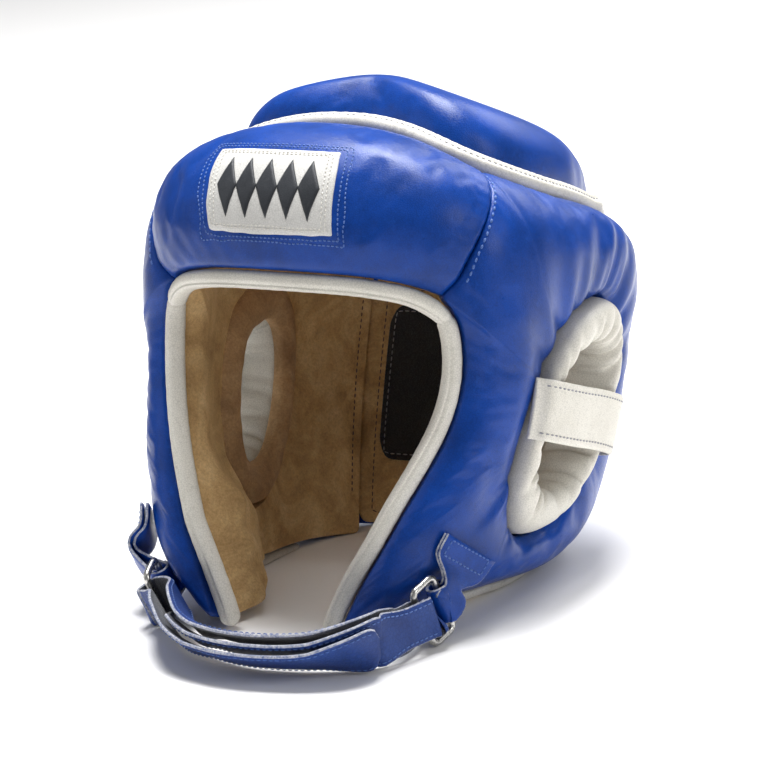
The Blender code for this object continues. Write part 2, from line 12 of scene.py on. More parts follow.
import bmesh
import bpy
import numpy as np
from mathutils import Matrix, Vector, noise
from mathutils.bvhtree import BVHTree


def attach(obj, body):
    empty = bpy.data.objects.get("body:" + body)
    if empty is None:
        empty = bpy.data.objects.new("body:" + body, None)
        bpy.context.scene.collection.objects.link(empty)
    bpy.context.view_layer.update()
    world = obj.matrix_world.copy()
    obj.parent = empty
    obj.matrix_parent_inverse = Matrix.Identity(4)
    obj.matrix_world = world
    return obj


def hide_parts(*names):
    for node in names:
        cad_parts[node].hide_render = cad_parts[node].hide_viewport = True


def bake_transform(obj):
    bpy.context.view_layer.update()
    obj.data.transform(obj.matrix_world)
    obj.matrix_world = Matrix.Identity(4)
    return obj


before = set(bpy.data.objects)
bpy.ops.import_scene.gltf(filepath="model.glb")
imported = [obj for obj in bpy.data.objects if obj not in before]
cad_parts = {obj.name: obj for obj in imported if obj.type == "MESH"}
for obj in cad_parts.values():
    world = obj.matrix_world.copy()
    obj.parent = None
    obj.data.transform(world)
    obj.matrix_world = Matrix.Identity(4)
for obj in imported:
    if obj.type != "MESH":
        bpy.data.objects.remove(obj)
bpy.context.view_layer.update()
RANDOM = np.random.default_rng(7)
MM = 0.001

# --- head space and stance, the same as the part's ---
HALF_WIDTH, HALF_FRONT, HALF_BACK = 78.0, 86.0, 95.0
WIDEST, RISE_FRONT, RISE_BACK, CROWN_POWER = 42.0, 54.0, 36.0, 2.5
PLAN_FRONT, PLAN_BACK = 2.6, 2.25
TAPER_DEPTH, TAPER_SIDE, TAPER_FRONT, TAPER_BACK = 160.0, 31.0, 6.0, 34.0
PITCH = math.radians(16.0)
SHIFT, LIFT = 26.6, 93.0

# --- pads ---
PANEL, LINING, PAD_INNER = 26.0, 1.8, 2.0
FACE_EDGE_THICK, SEAM_THICK, TOP_THICK, BOTTOM_THICK, REAR_THICK = 15.5, 24.5, 18.0, 11.0, 9.5
EAR_EDGE_THICK, CROWN_THICK, CROWN_MARGIN = 19.0, 38.0, 12.0
CROWN_EDGE_FRONT, CROWN_EDGE_REAR, FACE_EDGE_LIFT = 12.0, 18.0, 6.5
SEAM_FOOT, SEAM_HEAD = (43.5, -8.5), (59.0, 45.0)
TOP_EDGE = ((-30, 61), (0, 67), (30, 61), (59, 45), (90, 36), (140, 27), (180, 24), (220, 27))
FACE_EDGE = ((50, -19), (53, -34), (53.5, -50), (51.5, -66), (47, -83), (41, -102),
             (36, -120), (31, -138), (28, -153))
CHEEK_TIP = (27.5, -161.0)
CHIN_EDGE = ((29, -157.5), (34, -156), (41, -152), (50, -146), (65, -141), (80, -136),
             (95, -131), (112, -127), (127, -124.5))
REAR_THETA, REAR_FOOT, REAR_HEAD = 138.0, -123.0, 27.0
LINING_HEM, SEAM_STITCH_GAP, SEAM_LAP = 136.2, 1.1, 0.3
EAR_THETA, EAR_LEVEL, EAR_LEAN = 91.0, -58.0, 6.0
EAR_HOLE, EAR_RING, EAR_PAD, EAR_THICK = (9.5, 33.0), (14.3, 53.0), (17.5, 52.0), 27.0
EAR_STRAP_WIDTH, EAR_STRAP_SLOPE = 27.0, -0.24
FLAP_FOOT, FLAP_HEAD, FLAP_END, WING_END, FLAP_HINGE_OUT = -119.0, -1.0, 141.0, 178.0, 13.0

# --- chin strap ---
STRAP_WIDTH, STRAP_NECK, STRAP_THICK = 25.0, 18.0, 2.4
STRAP_LAYER, STRAP_LAYER_CHIN = 5.2, 4.5
RING_WIRE, RING_WIDTH, RING_DROP = 3.2, 23.6, 14.0
TAB_WIDTH, TAB_THICK, RING_PLAY = 30.0, 2.2, 1.5
TAB_ROOT = ((61.5, -116.0), (59.5, -125.0), (58.0, -133.0))
TAB_STANDOFF = {1: (1.5, 1.5, 4.8), -1: (1.5, 3.5, 9.0)}
TAB_ACROSS = Vector((0.34, 0.73, -0.60)).normalized()
RING_CENTRES = {1: Vector((73.5, -101.0, 16.0)), -1: Vector((-63.0, -106.2, 13.2))}
RING_ALONG = Vector((0.22, 0.91, 0.33)).normalized()
RING_ACROSS = {1: Vector((-0.22, -0.55, 0.80)).normalized(), -1: Vector((0.12, -0.33, 0.92)).normalized()}
STRAP_LEAN = np.array((0.0, -0.87, 0.50))
STRAP_TURN = {1: (46.0, 28.0), -1: (8.0, 50.0)}
STRAP_ROUTE = ((-50.5, -119), (-38, -135), (-18, -153), (9, -161), (38, -158), (61, -147), (72, -128))


# ---------------------------------------------------------------- surface
def lerp(a, b, t):
    return a + (b - a) * t


def ease(t):
    t = np.clip(t, 0.0, 1.0)
    return t * t * (3 - 2 * t)


def bell(x, width):
    return np.exp(-(np.asarray(x) / width) ** 2)


def on_head(theta, level, out):
    """Points of the head surface in the standing frame, in millimetres, shape (..., 3)."""
    theta, level, out = np.broadcast_arrays(*(np.asarray(v, float) for v in (theta, level, out)))
    c, s = np.cos(np.radians(theta)), np.sin(np.radians(theta))
    power = lerp(PLAN_BACK, PLAN_FRONT, np.clip(0.5 + c, 0, 1))
    depth = np.clip(-level, 0, None) / TAPER_DEPTH
    half_w = HALF_WIDTH + out - TAPER_SIDE * depth ** 2.2
    half_f = HALF_FRONT + out - TAPER_FRONT * depth ** 2
    half_b = HALF_BACK + out - TAPER_BACK * depth ** 1.3
    rise = lerp(RISE_BACK, RISE_FRONT, (1 + c) / 2) + out
    climb = np.clip(level, 0, 99.99) / 100 * math.pi / 2
    z = WIDEST + np.where(level > 0, rise * np.sin(climb) ** (2 / CROWN_POWER), level)
    shrink = np.where(level > 0, np.cos(climb) ** (2 / CROWN_POWER), 1.0)
    x = half_w * shrink * np.sign(s) * np.abs(s) ** (2 / power)
    y = -np.where(c > 0, half_f, half_b) * shrink * np.sign(c) * np.abs(c) ** (2 / power)
    cp, sp = math.cos(PITCH), math.sin(PITCH)
    made = np.stack([x, y * cp + z * sp + SHIFT, -y * sp + z * cp + LIFT], -1)
    made[..., 2] = np.maximum(made[..., 2], 0.0)
    return made


def smooth_line(points, steps):
    """A rounded line through given points (Catmull-Rom), as an array."""
    p = np.array([list(q) for q in points], float)
    p = np.vstack([2 * p[0] - p[1], p, 2 * p[-1] - p[-2]])
    t = np.arange(steps)[:, None] / steps
    line = [0.5 * (2 * b + (c - a) * t + (2 * a - 5 * b + 4 * c - d) * t * t
                   + (3 * b - a - 3 * c + d) * t ** 3)
            for a, b, c, d in zip(p, p[1:], p[2:], p[3:])]
    return np.vstack(line + [p[-2][None]])


def evenly(line, spacing):
    """The same line with points a set distance apart."""
    line = np.asarray(line, float)
    run = np.concatenate([[0], np.cumsum(np.linalg.norm(np.diff(line, axis=0), axis=1))])
    marks = np.linspace(0, run[-1], max(2, int(round(run[-1] / spacing)) + 1))
    return np.stack([np.interp(marks, run, line[:, k]) for k in range(line.shape[1])], 1)


def top_edge(theta):
    """Level of the panels' top edge (Hermite through the set points)."""
    theta = np.abs((np.asarray(theta, float) + 180.0) % 360.0 - 180.0)
    level = np.full(theta.shape, float(TOP_EDGE[-2][1]))
    for i in range(1, len(TOP_EDGE) - 2):
        (t0, v0), (t1, v1), (t2, v2), (t3, v3) = TOP_EDGE[i - 1:i + 3]
        t = (theta - t1) / (t2 - t1)
        m1, m2 = (v2 - v0) / (t2 - t0) * (t2 - t1), (v3 - v1) / (t3 - t1) * (t2 - t1)
        value = ((2 * t ** 3 - 3 * t * t + 1) * v1 + (t ** 3 - 2 * t * t + t) * m1
                 + (3 * t * t - 2 * t ** 3) * v2 + (t ** 3 - t * t) * m2)
        level = np.where((theta >= t1) & (theta <= t2), value, level)
    return level


def seam_theta(row):
    return SEAM_HEAD[0] - (SEAM_HEAD[0] - SEAM_FOOT[0]) * (1 - row) ** 2


def seam_level(row):
    return lerp(SEAM_FOOT[1], SEAM_HEAD[1], row)


def ear_oval(size, angle):
    return (EAR_THETA + size[0] * np.cos(angle) + EAR_LEAN * size[1] / 50.0 * np.sin(angle),
            EAR_LEVEL + size[1] * np.sin(angle))


def roughly(points, scale, seed=0.0):
    """Smooth noise from -1 to 1 at points, with features about scale millimetres across."""
    flat = np.asarray(points).reshape(-1, 3) / scale + seed
    return np.array([noise.noise(p) for p in flat]).reshape(np.asarray(points).shape[:-1])


# ---------------------------------------------------------------- materials
def shader(name, colour, roughness, metallic=0.0, **extra):
    made = bpy.data.materials.new(name)
    made.use_nodes = True
    node = made.node_tree.nodes["Principled BSDF"]
    node.inputs["Base Color"].default_value = (*colour, 1.0)
    node.inputs["Roughness"].default_value = roughness
    node.inputs["Metallic"].default_value = metallic
    for key, value in extra.items():
        node.inputs[key.replace("_", " ")].default_value = value
    return made, made.node_tree.nodes, made.node_tree.links, node


def texture(nodes, links, kind, scale, **settings):
    """A procedural texture in object space; scale is in features per metre."""
    where = nodes.get("Texture Coordinate") or nodes.new("ShaderNodeTexCoord")
    made = nodes.new(kind)
    for key, value in settings.items():
        if key in made.inputs:
            made.inputs[key].default_value = value
        else:
            setattr(made, key, value)
    made.inputs["Scale"].default_value = scale
    links.new(where.outputs["Object"], made.inputs["Vector"])
    return made


def ramp(nodes, links, source, stops):
    made = nodes.new("ShaderNodeValToRGB")
    made.color_ramp.elements[0].position, made.color_ramp.elements[-1].position = stops[0][0], stops[-1][0]
    made.color_ramp.elements[0].color = (*stops[0][1], 1)
    made.color_ramp.elements[-1].color = (*stops[-1][1], 1)
    for position, colour in stops[1:-1]:
        made.color_ramp.elements.new(position).color = (*colour, 1)
    links.new(source, made.inputs["Fac"])
    return made


def spread(nodes, links, source, low, high, to_low, to_high):
    made = nodes.new("ShaderNodeMapRange")
    for key, value in zip(("From Min", "From Max", "To Min", "To Max"), (low, high, to_low, to_high)):
        made.inputs[key].default_value = value
    links.new(source, made.inputs["Value"])
    return made.outputs["Result"]


def blend_colour(nodes, links, mode, amount, first, second):
    made = nodes.new("ShaderNodeMix")
    made.data_type = "RGBA"
    made.blend_type = mode
    if isinstance(amount, float):
        made.inputs["Factor"].default_value = amount
    else:
        links.new(amount, made.inputs["Factor"])
    links.new(first, made.inputs["A"])
    links.new(second, made.inputs["B"])
    return made.outputs["Result"]


def bumps(nodes, links, node, layers):
    """Stack bump layers of (height output, strength, depth in millimetres)."""
    before = None
    for height, strength, depth in layers:
        made = nodes.new("ShaderNodeBump")
        made.inputs["Strength"].default_value = strength
        made.inputs["Distance"].default_value = depth * MM
        links.new(height, made.inputs["Height"])
        if before:
            links.new(before.outputs["Normal"], made.inputs["Normal"])
        before = made
    links.new(before.outputs["Normal"], node.inputs["Normal"])


def leather(name, dark, light, wear, roughness, grain=1.0):
    """Grained leather: pebbled cells, finer pores, soft mottling and rubbed high spots."""
    made, nodes, links, node = shader(name, light, roughness, Specular_IOR_Level=0.24)
    mottle = texture(nodes, links, "ShaderNodeTexNoise", 38.0, Detail=6.0, Roughness=0.6)
    cells = texture(nodes, links, "ShaderNodeTexVoronoi", 950.0 / grain, feature="DISTANCE_TO_EDGE")
    pores = texture(nodes, links, "ShaderNodeTexNoise", 2300.0 / grain, Detail=3.0)
    creases = texture(nodes, links, "ShaderNodeTexNoise", 190.0, Detail=9.0, Roughness=0.7, Distortion=0.6)
    base = ramp(nodes, links, mottle.outputs["Fac"], ((0.3, dark), (0.62, light)))
    rubbed = ramp(nodes, links, creases.outputs["Fac"], ((0.55, (0, 0, 0)), (0.78, (0.4, 0.4, 0.4))))
    worn = nodes.new("ShaderNodeRGB")
    worn.outputs[0].default_value = (*wear, 1)
    colour = blend_colour(nodes, links, "MIX", rubbed.outputs["Color"], base.outputs["Color"],
                          worn.outputs[0])
    edge = ramp(nodes, links, cells.outputs["Distance"], ((0.0, (0.72, 0.72, 0.72)), (0.12, (1, 1, 1))))
    colour = blend_colour(nodes, links, "MULTIPLY", 0.8, colour, edge.outputs["Color"])
    links.new(colour, node.inputs["Base Color"])
    links.new(spread(nodes, links, creases.outputs["Fac"], 0.3, 0.75, roughness - 0.04, roughness + 0.06),
              node.inputs["Roughness"])
    cell_height = spread(nodes, links, cells.outputs["Distance"], 0.0, 0.16, 0.0, 1.0)
    bumps(nodes, links, node, ((creases.outputs["Fac"], 0.16, 0.3), (cell_height, 0.28, 0.10 * grain),
                               (pores.outputs["Fac"], 0.25, 0.05)))
    return made


def suede(name, dark, mid, light):
    """Napped split leather: brushed patches, short fibres, a soft sheen."""
    made, nodes, links, node = shader(name, mid, 0.96, Sheen_Weight=0.45, Sheen_Roughness=0.45)
    node.inputs["Sheen Tint"].default_value = (*light, 1)
    patches = texture(nodes, links, "ShaderNodeTexNoise", 46.0, Detail=8.0, Roughness=0.66, Distortion=0.9)
    nap = texture(nodes, links, "ShaderNodeTexNoise", 900.0, Detail=7.0, Roughness=0.75)
    fibre = texture(nodes, links, "ShaderNodeTexNoise", 3200.0, Detail=2.0)
    base = ramp(nodes, links, patches.outputs["Fac"], ((0.28, dark), (0.5, mid), (0.74, light)))
    speck = ramp(nodes, links, nap.outputs["Fac"], ((0.32, (0.66, 0.64, 0.62)), (0.62, (1.12, 1.1, 1.06))))
    links.new(blend_colour(nodes, links, "MULTIPLY", 0.85, base.outputs["Color"], speck.outputs["Color"]),
              node.inputs["Base Color"])
    bumps(nodes, links, node, ((patches.outputs["Fac"], 0.3, 0.8), (nap.outputs["Fac"], 0.55, 0.3),
                               (fibre.outputs["Fac"], 0.4, 0.08)))
    return made


def pile(name, dark, light, size):
    """Loop or hook tape: a dense field of small tufts over a woven ground."""
    made, nodes, links, node = shader(name, light, 0.97, Sheen_Weight=0.3, Sheen_Roughness=0.6)
    tufts = texture(nodes, links, "ShaderNodeTexVoronoi", 1000.0 / size)
    weave = texture(nodes, links, "ShaderNodeTexWave", 420.0 / size, Distortion=2.5, Detail=2.0)
    lint = texture(nodes, links, "ShaderNodeTexNoise", 260.0, Detail=8.0, Roughness=0.8)
    base = ramp(nodes, links, tufts.outputs["Distance"], ((0.05, light), (0.6, dark)))
    fluff = ramp(nodes, links, lint.outputs["Fac"], ((0.6, (0, 0, 0)), (0.8, (0.05, 0.05, 0.055))))
    links.new(blend_colour(nodes, links, "ADD", 1.0, base.outputs["Color"], fluff.outputs["Color"]),
              node.inputs["Base Color"])
    height = spread(nodes, links, tufts.outputs["Distance"], 0.0, 0.7, 1.0, 0.0)
    bumps(nodes, links, node, ((weave.outputs["Fac"], 0.3, 0.2), (height, 0.7, 0.3)))
    return made


def thread(name, colour, dark):
    """Twisted sewing thread."""
    made, nodes, links, node = shader(name, colour, 0.6, Sheen_Weight=0.2)
    twist = texture(nodes, links, "ShaderNodeTexWave", 900.0, Distortion=1.5, Detail=2.0,
                    bands_direction="DIAGONAL")
    base = ramp(nodes, links, twist.outputs["Fac"], ((0.1, dark), (0.7, colour)))
    links.new(base.outputs["Color"], node.inputs["Base Color"])
    bumps(nodes, links, node, ((twist.outputs["Fac"], 0.5, 0.1),))
    return made


def raw_edge(name):
    """Cut edge of laminated leather: fibrous, pale where the dye has not taken."""
    made, nodes, links, node = shader(name, (0.62, 0.6, 0.55), 0.9)
    layers = texture(nodes, links, "ShaderNodeTexNoise", 700.0, Detail=8.0, Roughness=0.75)
    base = ramp(nodes, links, layers.outputs["Fac"], ((0.36, (0.05, 0.08, 0.20)), (0.62, (0.50, 0.50, 0.52))))
    links.new(base.outputs["Color"], node.inputs["Base Color"])
    bumps(nodes, links, node, ((layers.outputs["Fac"], 0.6, 0.25),))
    return made


def plated(name):
    """Nickel-plated wire with fine rubbing marks."""
    made, nodes, links, node = shader(name, (0.66, 0.64, 0.60), 0.22, 1.0)
    rub = texture(nodes, links, "ShaderNodeTexNoise", 520.0, Detail=9.0, Roughness=0.7, Distortion=1.2)
    links.new(spread(nodes, links, rub.outputs["Fac"], 0.3, 0.7, 0.24, 0.34), node.inputs["Roughness"])
    tone = ramp(nodes, links, rub.outputs["Fac"], ((0.3, (0.46, 0.45, 0.43)), (0.7, (0.56, 0.55, 0.52))))
    links.new(tone.outputs["Color"], node.inputs["Base Color"])
    bumps(nodes, links, node, ((rub.outputs["Fac"], 0.05, 0.02),))
    return made


BLUE = leather("blue_leather", (0.002, 0.029, 0.175), (0.003, 0.046, 0.285), (0.008, 0.08, 0.41), 0.31)
BLUE_COARSE = leather("strap_blue", (0.010, 0.028, 0.13), (0.018, 0.050, 0.21), (0.07, 0.12, 0.31), 0.48, 1.9)
CREAM = leather("cream_leather", (0.58, 0.555, 0.49), (0.67, 0.645, 0.58), (0.74, 0.72, 0.66), 0.44)
PATCH = leather("patch_leather", (0.54, 0.53, 0.505), (0.60, 0.59, 0.565), (0.64, 0.635, 0.61), 0.5)
GREY = leather("patch_grey", (0.02, 0.022, 0.026), (0.035, 0.038, 0.044), (0.08, 0.084, 0.092), 0.45)
SUEDE = suede("suede", (0.34, 0.205, 0.082), (0.54, 0.355, 0.16), (0.72, 0.52, 0.27))
SUEDE_DARK = suede("suede_dark", (0.25, 0.145, 0.07), (0.42, 0.26, 0.13), (0.56, 0.38, 0.21))
BLACK = pile("black_pile", (0.006, 0.006, 0.008), (0.02, 0.02, 0.022), 0.7)
VELVET = pile("strap_velvet", (0.004, 0.007, 0.02), (0.010, 0.018, 0.055), 0.6)
EDGE = raw_edge("raw_edge")
STEEL = plated("nickel")
THREAD_BLUE = thread("thread_blue", (0.07, 0.17, 0.50), (0.02, 0.06, 0.22))
THREAD_GREY = thread("thread_grey", (0.33, 0.33, 0.35), (0.12, 0.12, 0.14))
THREAD_CREAM = thread("thread_cream", (0.72, 0.7, 0.64), (0.4, 0.38, 0.34))
THREAD_BROWN = thread("thread_brown", (0.10, 0.055, 0.03), (0.04, 0.02, 0.01))


# ---------------------------------------------------------------- mesh helpers
def make(name, verts, faces, materials, face_slots=None):
    """A smooth mesh object from points in millimetres."""
    mesh = bpy.data.meshes.new(name)
    mesh.from_pydata(np.asarray(verts, float) * MM, [], [tuple(int(i) for i in f) for f in faces])
    for item in materials if isinstance(materials, (list, tuple)) else [materials]:
        mesh.materials.append(item)
    if face_slots is not None:
        mesh.polygons.foreach_set("material_index", np.asarray(face_slots, np.int32))
    bm = bmesh.new()
    bm.from_mesh(mesh)
    bmesh.ops.recalc_face_normals(bm, faces=bm.faces)
    bm.to_mesh(mesh)
    bm.free()
    mesh.shade_smooth()
    made = bpy.data.objects.new(name, mesh)
    bpy.context.scene.collection.objects.link(made)
    return made


def settle(piece, body="shell", replaces=()):
    """Hand a finished piece to the frame: its body and the CAD nodes it stands for."""
    if body:
        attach(piece, body)
    if replaces:
        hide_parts(*replaces)
    return piece


def grid_faces(rows, columns, closed, start=0, flip=False):
    faces = []
    for r in range(rows - 1):
        for c in range(columns if closed else columns - 1):
            n = (c + 1) % columns
            face = (start + r * columns + c, start + r * columns + n,
                    start + (r + 1) * columns + n, start + (r + 1) * columns + c)
            faces.append(face[::-1] if flip else face)
    return faces


def rim_of(rows, columns, closed):
    """Border loops of a grid, as lists of point numbers."""
    first = list(range(columns))
    last = [(rows - 1) * columns + c for c in range(columns)]
    if closed:
        return [first, last]
    right = [r * columns + columns - 1 for r in range(1, rows - 1)]
    left = [r * columns for r in range(rows - 2, 0, -1)]
    return [first + right + last[::-1] + left]


def two_skins(name, outer, inner, closed, materials, cap=False):
    """A closed body between two grids of points, shape (rows, columns, 3)."""
    rows, columns = outer.shape[:2]
    count = rows * columns
    faces = grid_faces(rows, columns, closed) + grid_faces(rows, columns, closed, count, True)
    loops = rim_of(rows, columns, closed)
    if cap:
        top = loops.pop()
        half = columns // 2
        for k in range(1, half):
            quad = (top[k - 1], top[k], top[columns - k - 1], top[(columns - k) % columns])
            faces += [quad, tuple(i + count for i in quad[::-1])]
    for loop in loops:
        for a, b in zip(loop, loop[1:] + loop[:1]):
            faces.append((b, a, a + count, b + count))
    verts = np.vstack([outer.reshape(-1, 3), inner.reshape(-1, 3)])
    return make(name, verts, faces, materials)


def sweep(name, centres, across, sections, materials, closed=False, section_slots=None):
    """Sweep sections (points, 2) along centres; across gives each section's first axis."""
    centres, across = np.asarray(centres, float), np.asarray(across, float)
    count = len(centres)
    if closed:
        along = np.roll(centres, -1, 0) - np.roll(centres, 1, 0)
    else:
        along = np.gradient(centres, axis=0)
    along /= np.linalg.norm(along, axis=1)[:, None]
    across = across - along * (across * along).sum(1)[:, None]
    across /= np.linalg.norm(across, axis=1)[:, None]
    up = np.cross(along, across)
    sections = np.broadcast_to(sections, (count, *np.shape(sections)[-2:]))
    verts = (centres[:, None] + across[:, None] * sections[..., :1] + up[:, None] * sections[..., 1:])
    verts[..., 2] = np.maximum(verts[..., 2], 0.0)
    ring = sections.shape[1]
    faces, slots = [], []
    for i in range(count if closed else count - 1):
        n = (i + 1) % count
        for k in range(ring):
            m = (k + 1) % ring
            faces.append((i * ring + k, i * ring + m, n * ring + m, n * ring + k))
            slots.append(section_slots[k] if section_slots else 0)
    if not closed:
        faces += [tuple(range(ring))[::-1], tuple((count - 1) * ring + k for k in range(ring))]
        slots += [section_slots[0] if section_slots else 0] * 2
    return make(name, verts.reshape(-1, 3), faces, materials, slots)


def oval(half_a, half_b, points=20, power=2.0):
    angle = 2 * np.pi * np.arange(points) / points
    c, s = np.cos(angle), np.sin(angle)
    return np.stack([half_a * np.sign(c) * np.abs(c) ** (2 / power),
                     half_b * np.sign(s) * np.abs(s) ** (2 / power)], 1)


def rounded_ends(sections, spacing, length):
    """Shrink the first and last sections to round a sweep's two ends off."""
    count = len(sections)
    run = np.minimum(np.arange(count), np.arange(count)[::-1]) * spacing
    t = np.clip(run / length, 0.0, 1.0)
    return sections * np.sqrt(np.clip(1 - (1 - t) ** 2, 0.02, 1))[:, None, None]


def tree_of(*objects):
    """A search tree over finished pieces, in millimetres."""
    verts, faces = [], []
    for obj in objects:
        start = len(verts)
        verts += [v.co * 1000.0 for v in obj.data.vertices]
        faces += [tuple(i + start for i in p.vertices) for p in obj.data.polygons]
    return BVHTree.FromPolygons(verts, faces)


def laid_on(tree, points, lift, reach=30.0):
    """Points moved to the nearest place on a surface, and the way out from it there."""
    placed, normals = [], []
    for point in points:
        hit, normal, _, _ = tree.find_nearest(Vector(point), reach)
        placed.append(hit + normal * lift)
        normals.append(normal)
    return np.array(placed), np.array(normals)


def stitches(name, runs, material, body="shell", pitch=3.1, length=2.3, thick=0.42):
    """Rows of separate stitches: runs holds (points, ways out) pairs."""
    bead = []
    for t, r in ((-1.0, 0.12), (-0.72, 0.75), (-0.25, 1.0), (0.25, 1.0), (0.72, 0.75), (1.0, 0.12)):
        bead += [(t, r * math.cos(a), r * math.sin(a)) for a in (math.tau * k / 6 for k in range(6))]
    bead = np.array(bead)
    verts, faces = [], []
    for points, normals in runs:
        joined = evenly(np.hstack([points, normals]), pitch)
        for a, b in zip(joined, joined[1:]):
            middle, along = (a[:3] + b[:3]) / 2, b[:3] - a[:3]
            if np.linalg.norm(along) < 1e-6:
                continue
            along = along / np.linalg.norm(along)
            normal = (a[3:] + b[3:]) / 2
            normal = normal - along * normal.dot(along)
            normal /= max(np.linalg.norm(normal), 1e-6)
            side = np.cross(along, normal)
            dip = normal * thick * -0.55 * (bead[:, :1] ** 2)
            start = len(verts) * len(bead)
            verts.append(middle + along * bead[:, :1] * length / 2 + side * bead[:, 1:2] * thick
                         + normal * bead[:, 2:] * thick * 0.75 + dip)
            faces += [tuple(i + start for i in face) for face in grid_faces(6, 6, True)]
            faces += [tuple(start + k for k in range(6)), tuple(start + 30 + k for k in range(5, -1, -1))]
    return settle(make(name, np.vstack(verts), faces, material), body)


def swell(piece, loose, cap, pressure=2.5, slack=0.01):
    """Cloth: the skin swells over its foam where it is loose, held where it is sewn."""
    mesh = piece.data
    before = np.empty(len(mesh.vertices) * 3)
    mesh.vertices.foreach_get("co", before)
    before = before.reshape(-1, 3)
    held = piece.vertex_groups.new(name="held")
    for level in range(0, 11):
        chosen = np.flatnonzero(np.round((1 - loose) * 10) == level)
        if len(chosen) and level:
            held.add([int(i) for i in chosen], (level / 10) ** 2, "REPLACE")
    cloth = piece.modifiers.new("swell", "CLOTH")
    cloth.settings.quality = 7
    cloth.settings.mass = 0.25
    cloth.settings.tension_stiffness = 18.0
    cloth.settings.compression_stiffness = 12.0
    cloth.settings.shear_stiffness = 8.0
    cloth.settings.bending_stiffness = 0.6
    cloth.settings.use_pressure = True
    cloth.settings.uniform_pressure_force = pressure
    cloth.settings.shrink_min = -slack
    cloth.settings.vertex_group_mass = "held"
    cloth.settings.effector_weights.gravity = 0.0
    cloth.collision_settings.use_collision = False
    for step in range(1, 21):
        bpy.context.scene.frame_set(step)
    shaped = piece.evaluated_get(bpy.context.evaluated_depsgraph_get()).data
    after = np.empty(len(mesh.vertices) * 3)
    shaped.vertices.foreach_get("co", after)
    move = after.reshape(-1, 3) - before
    move = np.nan_to_num(move)
    far = np.linalg.norm(move, axis=1)
    move *= (np.tanh(far / (cap * MM)) * cap * MM / np.maximum(far, 1e-9))[:, None]
    piece.modifiers.remove(cloth)
    piece.vertex_groups.clear()
    move *= (loose > 0.05)[:, None]
    mesh.vertices.foreach_set("co", (before + move).ravel())
    mesh.update()
    bpy.context.scene.frame_set(1)


def finer(piece):
    """One subdivision, applied."""
    modifier = piece.modifiers.new("finer", "SUBSURF")
    modifier.levels = 1
    modifier.render_levels = 1
    shaped = bpy.data.meshes.new_from_object(piece.evaluated_get(bpy.context.evaluated_depsgraph_get()))
    piece.modifiers.clear()
    old, piece.data = piece.data, shaped
    bpy.data.meshes.remove(old)
    shaped.shade_smooth()
    return piece


# ---------------------------------------------------------------- pad shaping
def wobble(x, seed):
    return (np.sin(1.7 * x + seed) + 0.6 * np.sin(2.9 * x + 2.3 * seed) + 0.4 * np.sin(5.3 * x + seed)) / 2


def puckers(run, distance, period, depth, reach, seed):
    """Gathers along a seam: run is along it, distance is away from it, all in millimetres."""
    phase = run / period + 0.6 * wobble(run / 40.0, seed)
    strength = 0.55 + 0.45 * wobble(run / 23.0, seed + 1.0)
    return depth * strength * np.sin(2 * np.pi * phase) * np.exp(-distance / reach)


def walk(points, axis):
    """Distance travelled along a grid of points from its first row or column."""
    step = np.linalg.norm(np.diff(points, axis=axis), axis=2)
    pad = np.zeros_like(np.take(step, [0], axis=axis))
    return np.concatenate([pad, np.cumsum(step, axis=axis)], axis=axis)


def front_thickness(u, row):
    return (PANEL - (PANEL - SEAM_THICK) * np.abs(u) ** 8 - (PANEL - FACE_EDGE_THICK) * (1 - row) ** 6
            - (PANEL - TOP_THICK) * row ** 6)


def face_share(level):
    """How far the face edge is rolled outward: fully beside the cheeks, not at their tips."""
    return np.clip((level - CHEEK_TIP[1]) / 45.0, 0, 1)


def front_grid(rows, columns):
    row = np.linspace(0, 1, rows)[:, None]
    u = np.linspace(-1, 1, columns)[None, :]
    u = lerp(u, np.sin(u * np.pi / 2), 0.85)
    theta = (seam_theta(row) + SEAM_LAP) * u
    foot = SEAM_FOOT[1] + 6.5 * (1 - np.abs(u) ** 3)
    return u, row, theta, lerp(foot, top_edge(theta), row)


def front_pad():
    u, row, theta, level = front_grid(34, 72)
    thick = front_thickness(u, row)
    flat = on_head(theta, level, thick)
    up, along = walk(flat, 0), walk(flat, 1)
    below, above = up, up[-1:] - up
    aside = np.minimum(along, along[:, -1:] - along)
    label = ease(1.6 - np.hypot((theta + 3.0) / 17.0, (level - 22.0) / 19.0))
    thick = thick - 1.3 * bell(aside, 1.2) - 1.6 * bell(above, 2.6)
    shaped = (puckers(up, aside, 6.5, 0.6, 6.0, 0.4) + puckers(along, below, 9.0, 0.7, 7.0, 1.3)
              + puckers(along, above, 9.0, 0.7, 6.0, 2.2) + 0.4 * roughly(flat, 34.0, 3.0)
              + 0.12 * roughly(flat, 9.0, 8.0))
    thick = thick + shaped * (1 - 0.85 * label)
    lift = FACE_EDGE_LIFT * (1 - row) ** 6
    outer, inner = on_head(theta, level, thick), on_head(theta, level, PAD_INNER + lift + 0 * thick)
    pad = two_skins("front_pad", outer, inner, False, BLUE)
    edge = np.minimum(np.minimum(below, above), aside)
    loose = ease((edge - 3.0) / 12.0) * (1 - 0.6 * label)
    swell(pad, np.concatenate([loose.ravel(), np.zeros(loose.size)]), 1.5, slack=0.008)
    finer(pad)
    return settle(pad, replaces=("front_cover", "front_foam"))


